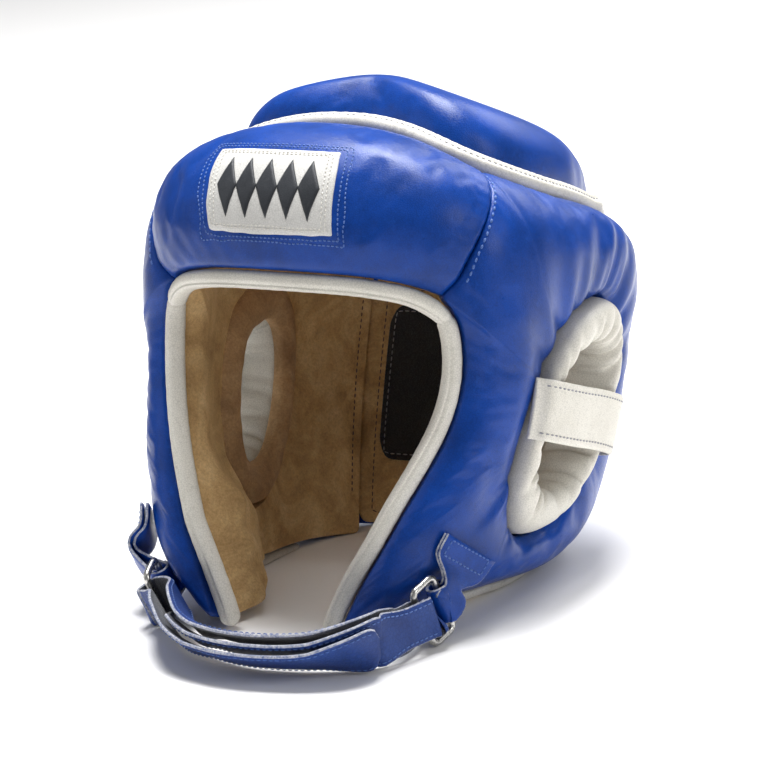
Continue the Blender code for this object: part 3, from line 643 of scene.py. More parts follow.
def side_outline(spacing):
    """The side pad's edge: theta, level, edge thickness, lift, and 1 on the temple seam."""
    row = np.linspace(1, 0, 25)
    seam = np.stack([seam_theta(row) - SEAM_LAP, seam_level(row), front_thickness(1.0, row),
                     FACE_EDGE_LIFT * (1 - row) ** 6, np.ones(25)], 1)
    face = smooth_line(((43.6, -8.5), *FACE_EDGE, (28.2, -156.0)), 6)[1:]
    chin = smooth_line((*CHIN_EDGE, (REAR_THETA, REAR_FOOT)), 6)
    rear = np.stack([np.full(20, REAR_THETA), np.linspace(REAR_FOOT, REAR_HEAD, 21)[1:]], 1)
    theta = np.linspace(REAR_THETA, SEAM_HEAD[0] + 0.1, 40)[1:-1]
    top = np.stack([theta, top_edge(theta)], 1)
    share = face_share(face[:, 1:])
    edge = lerp(BOTTOM_THICK, FACE_EDGE_THICK, share)
    parts = [seam, np.hstack([face, edge, FACE_EDGE_LIFT * share, 0 * share])]
    for part, thick in ((chin, BOTTOM_THICK), (rear, REAR_THICK), (top, TOP_THICK)):
        parts.append(np.hstack([part, np.full((len(part), 1), thick), np.zeros((len(part), 2))]))
    outline = np.vstack(parts)
    outline = np.vstack([outline, outline[:1]])
    place = on_head(outline[:, 0], outline[:, 1], 15.0)
    marked = evenly(np.hstack([place, outline]), spacing)[:-1]
    marked[:, 7] = np.round(marked[:, 7])
    return marked[:, 3:]


def side_grid(rings, spacing):
    outline = side_outline(spacing)
    theta, level, edge, lift, seam = outline.T
    across = (theta - EAR_THETA - EAR_LEAN * (level - EAR_LEVEL) / 50.0) / EAR_RING[0]
    angle = np.arctan2((level - EAR_LEVEL) / EAR_RING[1], across)
    near = ear_oval((EAR_RING[0] + 0.6, EAR_RING[1] + 1.6), angle)
    t = np.linspace(0, 1, rings)
    s = lerp(t, ease(t), 0.85)[:, None]
    theta, level = lerp(near[0], theta, s), lerp(near[1], level, s)
    return s, theta, level, edge[None], lift[None] * s ** 6, seam[None], angle[None]


EAR_FOLDS = ((62, 4.5, 0.62, 1.9), (74, 3.2, 0.45, 1.3), (86, 4.0, 0.7, 2.0), (97, 3.0, 0.4, 1.3),
             (108, 4.2, 0.6, 1.7), (121, 3.6, 0.42, 1.2), (136, 4.5, 0.55, 1.5), (152, 4.0, 0.4, 1.1),
             (205, 4.0, 0.35, 0.9), (238, 4.0, 0.4, 1.0), (264, 4.4, 0.4, 1.1), (291, 4.0, 0.4, 1.0),
             (318, 4.2, 0.35, 0.9), (22, 4.0, 0.4, 0.9), (41, 3.4, 0.5, 1.2))


def side_pad(prefix, side):
    s, theta, level, edge, lift, seam, angle = side_grid(22, 4.0)
    thick = PANEL - (PANEL - EAR_EDGE_THICK) * (1 - s) ** 4 - (PANEL - edge) * s ** 4
    flat = on_head(side * theta, level, thick)
    outward = walk(flat, 0)
    to_edge, from_ear = outward[-1:] - outward, outward
    run = walk(flat[-1:], 1)
    thick = thick - 1.3 * seam * bell(to_edge, 1.2) - 1.8 * bell(from_ear, 3.0)
    turn = np.degrees(angle) % 360.0
    seed = 1.0 if side > 0 else 4.0
    for place, width, reach, depth in EAR_FOLDS:
        off = (turn - place - 5.0 * np.sin(3.0 * s + seed) + 180.0) % 360.0 - 180.0
        thick = thick - 1.35 * depth * bell(off, width * (1 + 1.2 * s)) * np.exp(-(s / reach) ** 2)
        thick = thick + 0.8 * depth * bell(off - 1.9 * width, width * 1.1) * np.exp(-(s / reach) ** 2)
    drawn = np.sin(0.9 * level + 1.4 * np.sin(theta / 4.0))
    drawn = drawn * bell(theta - 64.0, 13.0) * bell(level + 40.0, 45.0)
    thick = thick + (puckers(run, to_edge, 7.5, 0.7, 7.0, 0.7 + seed) + 0.55 * roughly(flat, 34.0, seed)
                     + 0.2 * roughly(flat, 10.0, seed + 3) + 0.35 * drawn * roughly(flat, 17.0, seed + 6.0))
    outer = on_head(side * theta, level, thick)
    inner = on_head(side * theta, level, PAD_INNER + lift)
    pad = two_skins(prefix + "_side_pad", outer, inner, True, BLUE)
    loose = ease((np.minimum(to_edge, from_ear) - 3.0) / 12.0)
    swell(pad, np.concatenate([loose.ravel(), np.zeros(loose.size)]), 1.5, slack=0.008)
    finer(pad)
    return settle(pad, replaces=(prefix + "_side_cover", prefix + "_side_foam"))


CROWN_FOLDS = ((118, 5.0, 0.16, 2.2), (127, 4.0, 0.22, 1.6), (109, 4.0, 0.2, 1.4), (60, 6.0, 0.14, 1.2),
               (-40, 6.0, 0.15, 1.2), (-75, 5.0, 0.2, 1.3), (170, 7.0, 0.16, 1.2), (210, 6.0, 0.2, 1.4))


def crown_grid(rings, columns):
    t = np.linspace(0, 1, rings)[:, None]
    s = 0.97 * lerp(t, t ** 1.5, 0.5)
    theta = np.linspace(0, 360, columns, endpoint=False)[None, :] + 0 * s
    return s, theta, lerp(top_edge(theta) + CROWN_MARGIN, 100.0, s)


def rounded_top(grid, s):
    """The dome made even round its pole, where all the columns meet."""
    share = 0.5 * ease((s - 0.4) / 0.3)[..., None]
    for _ in range(90):
        pole = np.repeat(grid[-1:].mean(axis=1, keepdims=True), grid.shape[1], 1)
        near = np.roll(grid, 1, 1) + np.roll(grid, -1, 1)
        near = near + np.concatenate([grid[1:], pole]) + np.concatenate([grid[:1], grid[:-1]])
        grid = lerp(grid, near / 4, share)
    return grid


def crown_pad():
    s, theta, level = crown_grid(26, 96)
    edge = lerp(CROWN_EDGE_FRONT, CROWN_EDGE_REAR, np.minimum(1.0, 1.0 - np.cos(np.radians(theta))))
    thick = CROWN_THICK - (CROWN_THICK - edge) * (1 - s) ** 3
    flat = on_head(theta, level, thick)
    inward, run = walk(flat, 0), walk(flat[:1], 1)
    for place, width, reach, depth in CROWN_FOLDS:
        off = (theta - place - 10.0 * s + 180.0) % 360.0 - 180.0
        thick = thick - depth * bell(off, width) * np.exp(-((s - 0.03) / reach) ** 2)
    fade = ease((1 - s) * 3)
    thick = thick + fade * (puckers(run, inward, 10.0, 0.8, 6.0, 2.0) + 0.4 * roughly(flat, 40.0, 5.0)
                            + 0.1 * roughly(flat, 11.0, 9.0))
    outer, inner = on_head(theta, level, thick), on_head(theta, level, PAD_INNER + 0 * thick)
    outer = rounded_top(outer, s)
    pad = two_skins("crown_pad", outer, inner, True, BLUE, cap=True)
    loose = ease((inward - 3.0) / 12.0)
    swell(pad, np.concatenate([loose.ravel(), np.zeros(loose.size)]), 1.5, slack=0.006)
    finer(pad)
    return settle(pad, replaces=("crown_cover", "crown_foam"))


# ---------------------------------------------------------------- linings
def lining(name, theta, level, puff, lift, closed, node, cap=False):
    """Suede over thin wadding: it rises by the lift where it rolls outward to the face binding."""
    flat = on_head(theta, level, lift + 0.0 * theta)
    soft = puff * (1 + 0.35 * roughly(flat, 16.0, 2.0)) + 0.5 * roughly(flat, 22.0, 6.0) * ease(puff / 1.5)
    outer, inner = on_head(theta, level, LINING + lift + 0 * theta), on_head(theta, level, lift - soft)
    made = two_skins(name, outer, inner, closed, SUEDE, cap)
    finer(made)
    return settle(made, replaces=(node,))


def linings():
    _, row, theta, level = front_grid(24, 60)
    flat = on_head(theta, level, 0 * theta)
    up, along = walk(flat, 0), walk(flat, 1)
    edge = np.minimum(np.minimum(up, up[-1:] - up), np.minimum(along, along[:, -1:] - along))
    lining("front_lining_suede", theta, level, 2.4 * ease(edge / 9.0), FACE_EDGE_LIFT * (1 - row) ** 6, False,
           "front_lining")
    s, theta, level = crown_grid(16, 72)
    flat = on_head(theta, level, 0 * theta)
    lining("crown_lining_suede", theta, level, 2.0 * ease(walk(flat, 0) / 9.0), 0.0, True, "crown_lining",
           cap=True)
    for prefix, side in (("left", 1), ("right", -1)):
        s, theta, level, _, lift, _, angle = side_grid(24, 4.0)
        flat = on_head(side * theta, level, lift)
        outward = walk(flat, 0)
        to_edge = outward[-1:] - outward
        turn = np.degrees(angle) % 360.0 + 0 * s
        cheek = (1 - ease((theta - 66.0) / 16.0)) * ease((-74.0 - level) / 40.0)
        puff = 2.6 * ease(to_edge / 9.0) + 14.0 * cheek * ease(to_edge / 11.0) * ease((outward - 4.0) / 16.0)
        behind = (turn + 180.0) % 360.0 - 180.0
        fan = 1.1 * wobble(behind / 5.0, 1.0) * bell(behind, 42.0) * bell(s - 0.35, 0.3)
        puff = puff + fan * ease(to_edge / 9.0)
        seam_line = bell((turn - 281.0 - 14.0 * s + 180) % 360 - 180, 1.8) * ease((s - 0.2) * 5)
        puff = puff * (1 - 0.95 * seam_line)
        hem = bell(theta - 133.0, 0.35) + bell(theta - LINING_HEM, 0.35)
        puff = puff * (1 - 0.7 * np.clip(hem, 0, 1))
        puff = puff * lerp(1.0, 0.45, ease((theta - 127.0) / 5.0))
        folds = 0.9 * wobble(theta / 5.0 + level / 30.0, 2.0) * bell(theta - 118.0, 10.0)
        puff = puff + folds * ease(to_edge / 12.0)
        if side < 0:
            theta = theta + 1.4 * ease((theta - 130.0) / 8.0)
        lining(prefix + "_lining_suede", side * theta, level, puff, lift, True, prefix + "_side_lining")


# ---------------------------------------------------------------- bindings
def binding_section(points=30):
    """Folded leather edge: a rounded lip, and a bead with a groove beside it on the outer face."""
    section = oval(4.5, 4.1, points, 2.6)
    outside = section[:, 0] > 0
    section[:, 0] -= np.where(outside, 1.1 * bell(section[:, 1] - 2.0, 0.5), 0.0)
    return section


def gathered(sections, run, seed, depth, period):
    """Small wrinkles across a swept piece, each point pushed in or out of its section."""
    ring = np.arange(sections.shape[1]) / sections.shape[1]
    phase = run[:, None] / period + 0.7 * wobble(run[:, None] / 31.0, seed) + 0.25 * np.sin(2 * np.pi * ring)
    strength = 0.5 + 0.5 * wobble(run[:, None] / 17.0 + 3 * ring, seed + 2)
    return sections * (1 + depth * strength * np.sin(2 * np.pi * phase) / 5.0)[..., None]


def face_path():
    """The face opening's edge, from one cheek tip over the forehead to the other."""
    half = [CHEEK_TIP, *reversed(FACE_EDGE), (SEAM_FOOT[0] + 1.5, SEAM_FOOT[1] - 3.0)]
    half += [(SEAM_FOOT[0] * u, SEAM_FOOT[1] + 6.5 * (1 - u ** 3)) for u in (0.8, 0.5, 0.2)]
    return smooth_line(half + [(-t, v) for t, v in reversed(half)], 12)


def face_binding():
    path = face_path()
    height = 4.6 + FACE_EDGE_LIFT * face_share(path[:, 1])
    edge = on_head(path[:, 0], path[:, 1], height)
    both = evenly(np.hstack([edge, on_head(path[:, 0], path[:, 1], height + 4.4) - edge]), 2.0)
    edge, out = both[:, :3], both[:, 3:]
    out /= np.linalg.norm(out, axis=1)[:, None]
    along = np.gradient(edge, axis=0)
    along /= np.linalg.norm(along, axis=1)[:, None]
    inward = np.cross(out, along)
    centres = edge + inward * 4.6
    run = np.arange(len(centres)) * 2.0
    sections = np.repeat(binding_section()[None], len(centres), 0)
    sections[..., 1] *= -1
    sections = gathered(sections, run, 1.7, 0.14, 7.0)
    bend = np.linalg.norm(np.gradient(along, axis=0), axis=1)
    corner = np.convolve(bend, np.ones(5) / 5, "same")
    for k in range(6, len(corner) - 6):
        if corner[k] > 0.035 and corner[k] == corner[k - 6:k + 7].max():
            crease = 1 - 0.2 * bell(run - run[k], 1.5) - 0.1 * bell(run - run[k] - 5.0, 1.4)
            sections = sections * crease[:, None, None]
    sections = rounded_ends(sections, 2.0, 5.0)
    made = sweep("face_binding_leather", centres, out, sections, CREAM)
    finer(made)
    settle(made, replaces=("face_binding",))
    return made


def crown_binding():
    theta = np.linspace(0, 360, 241)
    level = top_edge(theta) + CROWN_MARGIN / 2
    both = evenly(np.hstack([on_head(theta, level, 16.0), on_head(theta, level, 20.0)]), 2.2)[:-1]
    centres, out = both[:, :3], both[:, 3:] - both[:, :3]
    run = np.arange(len(centres)) * 2.2
    section = oval(5.2, 4.7, 26, 2.3)
    section[:, 0] -= np.where(section[:, 0] > 0, 0.9 * bell(section[:, 1], 0.7), 0.0)
    sections = gathered(np.repeat(section[None], len(centres), 0), run, 0.6, 0.2, 6.5)
    place = np.argmin(np.linalg.norm(centres - on_head(112.0, top_edge(112.0) + 6.0, 16.0), axis=1))
    knot = 1 + 0.32 * bell(run - run[place], 6.0) - 0.12 * bell(run - run[place] - 9.0, 2.5)
    sections = sections * knot[:, None, None]
    made = sweep("crown_binding_leather", centres, out, sections, CREAM, closed=True)
    finer(made)
    settle(made, replaces=("crown_binding",))
    return made, centres, out


def bottom_piping(prefix, side):
    path = smooth_line(CHIN_EDGE[2:-1], 14)
    low = on_head(side * path[:, 0], path[:, 1] - 3.6, 5.5)
    high = on_head(side * path[:, 0], path[:, 1], 12.0)
    both = evenly(np.hstack([low, high - low]), 2.0)
    run = np.arange(len(both)) * 2.0
    sections = gathered(np.repeat(oval(3.9, 2.6, 16)[None], len(both), 0), run, 2.0 + side, 0.12, 6.0)
    sections = rounded_ends(sections, 2.0, 8.0)
    made = sweep(prefix + "_piping_leather", both[:, :3], both[:, 3:], sections, CREAM)
    finer(made)
    return settle(made, replaces=(prefix + "_bottom_piping",))


# ---------------------------------------------------------------- ears
def ear_ring(prefix, side):
    """Leather rolled over foam round the ear opening, pleated where it is drawn in to the hole."""
    steps, points = 132, 26
    angle = np.linspace(0, 2 * np.pi, steps, endpoint=False)[:, None]
    turn = np.arange(points)[None] / points * 2 * np.pi
    c, s = np.cos(turn), np.sin(turn)
    across = 0.5 - 0.53 * np.sign(c) * np.abs(c) ** 0.8
    out = EAR_THICK / 2 + (EAR_THICK / 2 - 0.3) * np.sign(s) * np.abs(s) ** 0.8
    pleat = np.zeros((steps, points))
    for k in range(34):
        place = 2 * math.pi * (k + 0.55 * RANDOM.uniform(-1, 1)) / 34
        width, depth = RANDOM.uniform(0.03, 0.06), RANDOM.uniform(1.2, 3.0)
        reach = RANDOM.uniform(0.35, 1.0)
        lean = RANDOM.uniform(-0.25, 0.25)
        off = (angle - place - lean * across + np.pi) % (2 * np.pi) - np.pi
        pleat += depth * bell(off, width) * np.exp(-(np.clip(across, 0, 1) / reach) ** 2)
    outside = np.clip(s, 0.0, 1.0) ** 0.5
    out = out - pleat * outside
    across = across + 0.05 * pleat * (c > 0)
    hole, rim = ear_oval(EAR_HOLE, angle), ear_oval(EAR_RING, angle)
    grid = on_head(side * lerp(hole[0], rim[0], across), lerp(hole[1], rim[1], across), out)
    faces = []
    for i in range(steps):
        n = (i + 1) % steps
        for k in range(points):
            m = (k + 1) % points
            faces.append((i * points + k, i * points + m, n * points + m, n * points + k))
    made = make(prefix + "_ear_ring_leather", grid.reshape(-1, 3), faces, CREAM)
    finer(made)
    stands_for = (prefix + "_ear_ring", prefix + "_ear_ring_foam")
    return settle(made, replaces=stands_for)


def ear_pad(prefix, side):
    steps = 96
    angle = np.linspace(0, 2 * np.pi, steps, endpoint=False)[None]
    s = np.linspace(0, 1, 14)[:, None]
    hole, rim = ear_oval(EAR_HOLE, angle), ear_oval(EAR_PAD, angle)
    theta, level = lerp(hole[0], rim[0], s), lerp(hole[1], rim[1], s)
    height = 2.2 + 6.6 * np.sin(np.pi * np.clip(s * 0.86 + 0.12, 0, 1)) ** 0.7
    flat = on_head(side * theta, level, -height)
    height = height + 0.7 * roughly(flat, 14.0, 4.0)
    height = height + puckers(walk(flat[:1], 1), 9.0 * (1 - s), 10.0, 0.6, 9.0, 3.0)
    made = two_skins(prefix + "_ear_pad_suede", on_head(side * theta, level, -0.3 + 0 * height),
                     on_head(side * theta, level, -height), True, SUEDE_DARK)
    finer(made)
    return settle(made, replaces=(prefix + "_ear_pad",))


def ear_strap(prefix, side):
    """Short leather bridge over the ear opening, sewn down at both ends."""
    arch = smooth_line(((74.4, 22.4), (75.8, 24.2), (77.4, 27.4), (80.0, 28.4), (85.0, 28.7), (91.0, 28.8),
                        (97.0, 28.7), (102.0, 28.4), (104.8, 27.4), (106.6, 24.2), (108.0, 22.4)), 6)
    theta, out = arch[:, 0][:, None], arch[:, 1][:, None]
    row = np.sin(np.linspace(-0.5, 0.5, 17) * np.pi)[None] * 0.5
    level = EAR_LEVEL - 0.5 + EAR_STRAP_SLOPE * (theta - EAR_THETA) + EAR_STRAP_WIDTH * row
    flat = on_head(side * theta, level, out)
    soft = 0.5 * roughly(flat, 12.0, 2.0 + side) - 0.5 * bell(np.abs(row) - 0.38, 0.03)
    rim = 0.8 * (1 - ease((0.5 - np.abs(row)) / 0.05))
    made = two_skins(prefix + "_ear_strap_leather", on_head(side * theta, level, out + 2.1 + soft - rim),
                     on_head(side * theta, level, out + rim * 0.5), False, CREAM)
    finer(made)
    settle(made, replaces=(prefix + "_ear_strap",))
    tree = tree_of(made)
    runs = []
    theta, out = arch[6:-6].T
    for mark in (-0.385, 0.385):
        level = EAR_LEVEL - 0.5 + EAR_STRAP_SLOPE * (theta - EAR_THETA) + EAR_STRAP_WIDTH * mark
        line = on_head(side * theta, level, out + 3.0)
        runs.append(laid_on(tree, evenly(line, 1.5), 0.1))
    stitches(prefix + "_ear_strap_stitching", runs, THREAD_GREY, pitch=3.0)
    return made


# ---------------------------------------------------------------- forehead patch
PATCH_CORNERS = np.array([[(-13.5, 5.5), (11.0, 5.5)], [(-19.0, 38.5), (10.5, 38.5)]])
DIAMONDS = 5


def patch_place(a, b):
    """theta and level of a place on the patch; a and b run from 0 to 1 across and up.

    The forehead is flattest in the middle, so shares across are taken along its width.
    """
    corner = PATCH_CORNERS[..., 0]
    width = np.sign(corner) * np.abs(np.sin(np.radians(corner))) ** (2 / PLAN_FRONT)
    place = lerp(lerp(width[0, 0], width[0, 1], a), lerp(width[1, 0], width[1, 1], a), b)
    theta = np.degrees(np.arcsin(np.sign(place) * np.abs(place) ** (PLAN_FRONT / 2)))
    return theta, lerp(PATCH_CORNERS[0, 0, 1], PATCH_CORNERS[1, 0, 1], b)


def patch_sheet(name, a, b, tree, lift, thick, material):
    """A thin piece that follows the surface under it; a and b are grids across and up the patch."""
    theta, level = patch_place(a, b)
    guess = on_head(theta, level, PANEL + 5.0).reshape(-1, 3)
    place, normal = laid_on(tree, guess, 0.0)
    normal = normal / np.linalg.norm(normal, axis=1)[:, None]
    shape = (*a.shape, 3)
    rim = np.ones(a.shape)
    rim[0], rim[-1], rim[:, 0], rim[:, -1] = 0.3, 0.3, 0.3, 0.3
    top = (place + normal * (lift + thick * rim.reshape(-1, 1))).reshape(shape)
    low = (place + normal * lift).reshape(shape)
    return two_skins(name, top, low, False, material)


def patch_frame(inset, count=40):
    """A closed line round the patch, inset from its edge, as shares across and up."""
    side = np.linspace(inset, 1 - inset, count)
    a = np.concatenate([side, np.full(count, 1 - inset), side[::-1], np.full(count, inset)])
    b = np.concatenate([np.full(count, inset), side, np.full(count, 1 - inset), side[::-1]])
    return a, b


def forehead_patch(pad):
    tree = tree_of(pad)
    a, b = np.meshgrid(np.linspace(0, 1, 34), np.linspace(0, 1, 28))
    patch = patch_sheet("forehead_patch", a, b, tree, -0.2, 1.3, PATCH)
    finer(patch)
    settle(patch, replaces=("label_patch",))
    tree = tree_of(patch)
    for k in range(DIAMONDS):
        p, q = np.meshgrid(np.linspace(-1, 1, 13), np.linspace(-1, 1, 13))
        middle = 0.18 + 0.64 * k / (DIAMONDS - 1)
        motif = patch_sheet(f"patch_diamond_{k + 1}", middle + 0.082 * (p + q) / 2, 0.5 + 0.35 * (p - q) / 2,
                            tree, 0.05, 0.6, GREY)
        settle(motif)
    rows = []
    for inset in (0.035, 0.075):
        theta, level = patch_place(*patch_frame(inset))
        rows.append(laid_on(tree, on_head(theta, level, PANEL + 5.0), 0.1))
    stitches("patch_stitching", rows, THREAD_CREAM, pitch=2.1, length=1.5, thick=0.3)
    tree, rows = tree_of(pad), []
    for grow in (0.045, 0.085):
        theta, level = patch_place(*patch_frame(-grow))
        rows.append(laid_on(tree, on_head(theta, level, PANEL + 5.0), 0.1))
    stitches("patch_border_stitching", rows, THREAD_BLUE, pitch=2.1, length=1.5, thick=0.34)


# ---------------------------------------------------------------- top stitching
def pad_stitching(pads, binding, binding_line, binding_out):
    row = np.linspace(0.10, 0.985, 60)
    for prefix, side in (("left", 1), ("right", -1)):
        tree = tree_of(pads[prefix])
        line = on_head(side * (seam_theta(row) + SEAM_STITCH_GAP), seam_level(row), SEAM_THICK + 1.0)
        runs = [laid_on(tree, evenly(line, 2.0), 0.12)]
        level = np.linspace(REAR_FOOT + 8, REAR_HEAD - 6, 50)
        line = on_head(side * (REAR_THETA - 3.0), level, REAR_THICK + 2.0)
        runs.append(laid_on(tree, evenly(line, 2.0), 0.12))
        stitches(prefix + "_seam_stitching", runs, THREAD_BLUE, thick=0.5)
    tree = tree_of(binding)
    normal = binding_out / np.linalg.norm(binding_out, axis=1)[:, None]
    placed, ways = laid_on(tree, binding_line + normal * 5.0, 0.12)
    stitches("crown_binding_stitching", [(placed, ways)], THREAD_GREY, pitch=3.0, length=2.2)


def lining_stitching(linings_made):
    for prefix, side in (("left", 1), ("right", -1)):
        tree = tree_of(linings_made[prefix])
        level = np.linspace(-104, 14, 60)
        runs = [laid_on(tree, evenly(on_head(side * LINING_HEM, level, -1.0), 2.0), 0.12)]
        stitches(prefix + "_lining_stitching", runs, THREAD_BROWN, pitch=3.0, length=2.1, thick=0.36)


# ---------------------------------------------------------------- rear closure
def between(start, end, step):
    return np.linspace(start, end, max(2, int(round(abs(end - start) / step)) + 1))


def rounded_sheet(thetas, levels, corner, step=3.0):
    """A grid over a rectangle of theta and level whose four corners are rounded."""
    theta, level = np.meshgrid(between(*thetas, step / 1.75), between(*levels, step))
    middle = sum(levels) / 2
    half = (levels[1] - levels[0]) / 2
    near = np.minimum(theta - thetas[0], thetas[1] - theta) * 1.75
    cut = corner - np.sqrt(np.clip(corner ** 2 - np.clip(corner - near, 0, corner) ** 2, 0, None))
    share = (half - cut) / half
    return theta, middle + (level - middle) * share


def closure_piece(name, thetas, levels, low, high, material, body, node, corner=6.0, soft=0.4,
                  seed=0.0):
    """A rounded rectangle of the rear closure; a thin one is a sheet that rests on the piece under it."""
    theta, level = rounded_sheet(thetas, levels, corner)
    flat = on_head(theta, level, high)
    run = np.minimum(walk(flat, 1), walk(flat, 1)[:, -1:] - walk(flat, 1))
    climb = np.minimum(walk(flat, 0), walk(flat, 0)[-1:] - walk(flat, 0))
    edge = np.minimum(run, climb)
    thin = (high - low) * 0.42 * (1 - ease(edge / 3.5))
    sewn = soft * bell(edge - 5.5, 1.0)
    relief = soft * roughly(flat, 24.0, seed)
    made = two_skins(name, on_head(theta, level, high + relief - thin - sewn),
                     on_head(theta, level, low + thin), False, material)
    finer(made)
    if body:
        settle(made, body, (node,))
    else:
        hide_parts(node)
    return made


def border_runs(tree, thetas, levels, inset, out):
    t0, t1 = thetas[0] + inset / 1.75, thetas[1] - inset / 1.75
    l0, l1 = levels[0] + inset, levels[1] - inset
    count = 40
    theta = np.concatenate([np.linspace(t0, t1, count), np.full(count, t1), np.linspace(t1, t0, count),
                            np.full(count, t0)])
    level = np.concatenate([np.full(count, l0), np.linspace(l0, l1, count), np.full(count, l1),
                            np.linspace(l1, l0, count)])
    line = evenly(on_head(theta, level, out), 2.0)
    return laid_on(tree, line, 0.12)


def rear_closure():
    near = 360.0 - REAR_THETA
    closure_piece("rear_wing_leather", (REAR_THETA - 1.5, WING_END), (-100.0, -2.0), 0.5, 2.4,
                  BLUE, "shell", "rear_wing", corner=9.0)
    closure_piece("loop_tape_pile", (REAR_THETA + 4.0, WING_END - 3.0), (-92.0, -10.0), 2.5, 3.6,
                  BLACK, "shell", "loop_tape", corner=5.0)
    hook = closure_piece("hook_tape_pile", (FLAP_END + 4.0, near - 9.0), (-88.0, -14.0), 3.9, 4.8,
                         BLACK, "rear_flap", "hook_tape", corner=9.0)
    back = closure_piece("rear_flap_backing", (FLAP_END + 0.4, near - 1.3), (FLAP_FOOT + 1, FLAP_HEAD - 1),
                         5.3, 6.6, SUEDE, "rear_flap", "rear_flap_lining",
                         corner=7.0)
    flap = closure_piece("rear_flap_leather", (FLAP_END, near + 2.2), (FLAP_FOOT, FLAP_HEAD), 6.7, 11.6,
                         BLUE, None, "rear_flap", corner=8.0, soft=0.8, seed=5.0)
    foot, head = (on_head(near - 0.7, level, FLAP_HINGE_OUT) for level in (FLAP_FOOT, FLAP_HEAD))
    ahead = on_head(near - 6.0, (FLAP_FOOT + FLAP_HEAD) / 2, 10.4) - on_head(
        near, (FLAP_FOOT + FLAP_HEAD) / 2, 10.4)
    ahead /= np.linalg.norm(ahead)
    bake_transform(flap)
    tree = tree_of(flap)
    runs = [border_runs(tree, (FLAP_END, near - 6.0), (FLAP_FOOT, FLAP_HEAD), inset, 11.0)
            for inset in (5.5, 8.5)]
    stitches("rear_flap_stitching", runs, THREAD_BLUE, "rear_flap")
    tree = tree_of(back)
    runs = [border_runs(tree, (FLAP_END, near - 4.0), (FLAP_FOOT, FLAP_HEAD), 6.0, 5.0)]
    stitches("rear_backing_stitching", runs, THREAD_BROWN, "rear_flap", thick=0.3)
    runs = [border_runs(tree_of(hook), (FLAP_END + 4.0, near - 9.0), (-88.0, -14.0), 3.0, 3.0)]
    stitches("hook_tape_stitching", runs, THREAD_GREY, "rear_flap", thick=0.28)


# ---------------------------------------------------------------- chin strap
def to_side(vector, side):
    return Vector((vector.x * side, vector.y, vector.z))


def ring_frame(side):
    centre = RING_CENTRES[side] + Vector((0, SHIFT, 0))
    across, along = to_side(RING_ACROSS[side], side), to_side(RING_ALONG, side)
    across = (across - along * across.dot(along)).normalized()
    out = along.cross(across).normalized()
    return centre, across, along, out if out.x * side > 0 else -out


def strap_ring(prefix, side):
    centre, across, along, out = ring_frame(side)
    half_w, half_d, corner = (RING_WIDTH + RING_WIRE) / 2, RING_DROP / 2, 3.0
    centres = []
    for sx, sd, start in ((1, 1, 0), (-1, 1, 90), (-1, -1, 180), (1, -1, 270)):
        for angle in np.radians(start + np.linspace(0, 90, 9)):
            u = sx * (half_w - corner) + corner * math.cos(angle)
            v = sd * (half_d - corner) + corner * math.sin(angle)
            centres.append(centre + across * u + along * v)
    centres = evenly(np.array([list(p) for p in centres + centres[:1]]), 1.0)[:-1]
    made = sweep(prefix + "_ring_wire", centres, np.tile(list(out), (len(centres), 1)),
                 oval(RING_WIRE / 2, RING_WIRE / 2, 14), STEEL, closed=True)
    return settle(made, prefix + "_ring", (prefix + "_ring",))


def band_section(width, thick, edge=0.3):
    """A flat strip: leather face, cut edge, inner face, cut edge, with rounded corners."""
    half, rise = width / 2, thick / 2
    across = np.linspace(-1, 1, 11)
    face = [(half * a * (1 - edge / half), rise * (1 - 0.42 * a ** 8)) for a in across]
    section = [(-half, -rise * 0.34), (-half, rise * 0.34)] + face
    section += [(half, rise * 0.34), (half, -rise * 0.34)] + [(a, -b) for a, b in face[::-1]]
    return np.array(section)


BAND_SLOTS = [1, 1] + [0] * 10 + [1, 1, 1] + [2] * 10 + [1]


def band(name, centres, sides, widths, thick, materials, wave=0.0):
    sections = np.array([band_section(w, thick) for w in widths])
    run = np.concatenate([[0], np.cumsum(np.linalg.norm(np.diff(centres, axis=0), axis=1))])
    if wave:
        ripple = wave * wobble(run / 14.0, 1.0)[:, None] * np.sign(sections[..., 0]) * np.abs(
            sections[..., 0] / STRAP_WIDTH * 2) ** 3
        sections[..., 1] += ripple * 0.5
        sections[..., 0] += (wave * 0.6 * wobble(run / 9.0, 3.0))[:, None] * np.sign(sections[..., 0])
    made = sweep(name, centres, sides, sections, materials, section_slots=BAND_SLOTS)
    return made


def band_runs(centres, sides, widths, insets, face, skip=(3, 3)):
    """Stitch rows laid along a band: face is 1 for its first face and -1 for its second."""
    along = np.gradient(centres, axis=0)
    along /= np.linalg.norm(along, axis=1)[:, None]
    across = sides - along * (sides * along).sum(1)[:, None]
    across /= np.linalg.norm(across, axis=1)[:, None]
    up = np.cross(along, across) * face
    runs = []
    for inset in insets:
        reach = (widths / 2 - abs(inset))[:, None] * (1 if inset > 0 else -1)
        line = centres + across * reach + up * 1.28
        runs.append((line[skip[0]:-skip[1]], up[skip[0]:-skip[1]]))
    return runs


def ring_share(point):
    return np.clip((point[..., 1] - SHIFT + 140.0) / 30.0, 0, 1)


def strap_across(point):
    """The strap's width direction: leaning forward under the chin, as the rings lean near them."""
    left = point[..., 0] > 0
    start, span = (np.where(left, STRAP_TURN[1][k], STRAP_TURN[-1][k]) for k in range(2))
    near = np.clip((np.abs(point[..., 0]) - start) / span, 0, 1)[..., None]
    rings = [np.array(to_side(RING_ACROSS[side], side)) for side in (1, -1)]
    made = lerp(STRAP_LEAN, np.where(left[..., None], *rings), near)
    return made / np.linalg.norm(made, axis=-1, keepdims=True)


def layer_offset(point):
    return lerp(STRAP_LAYER_CHIN, STRAP_LAYER, ring_share(point))


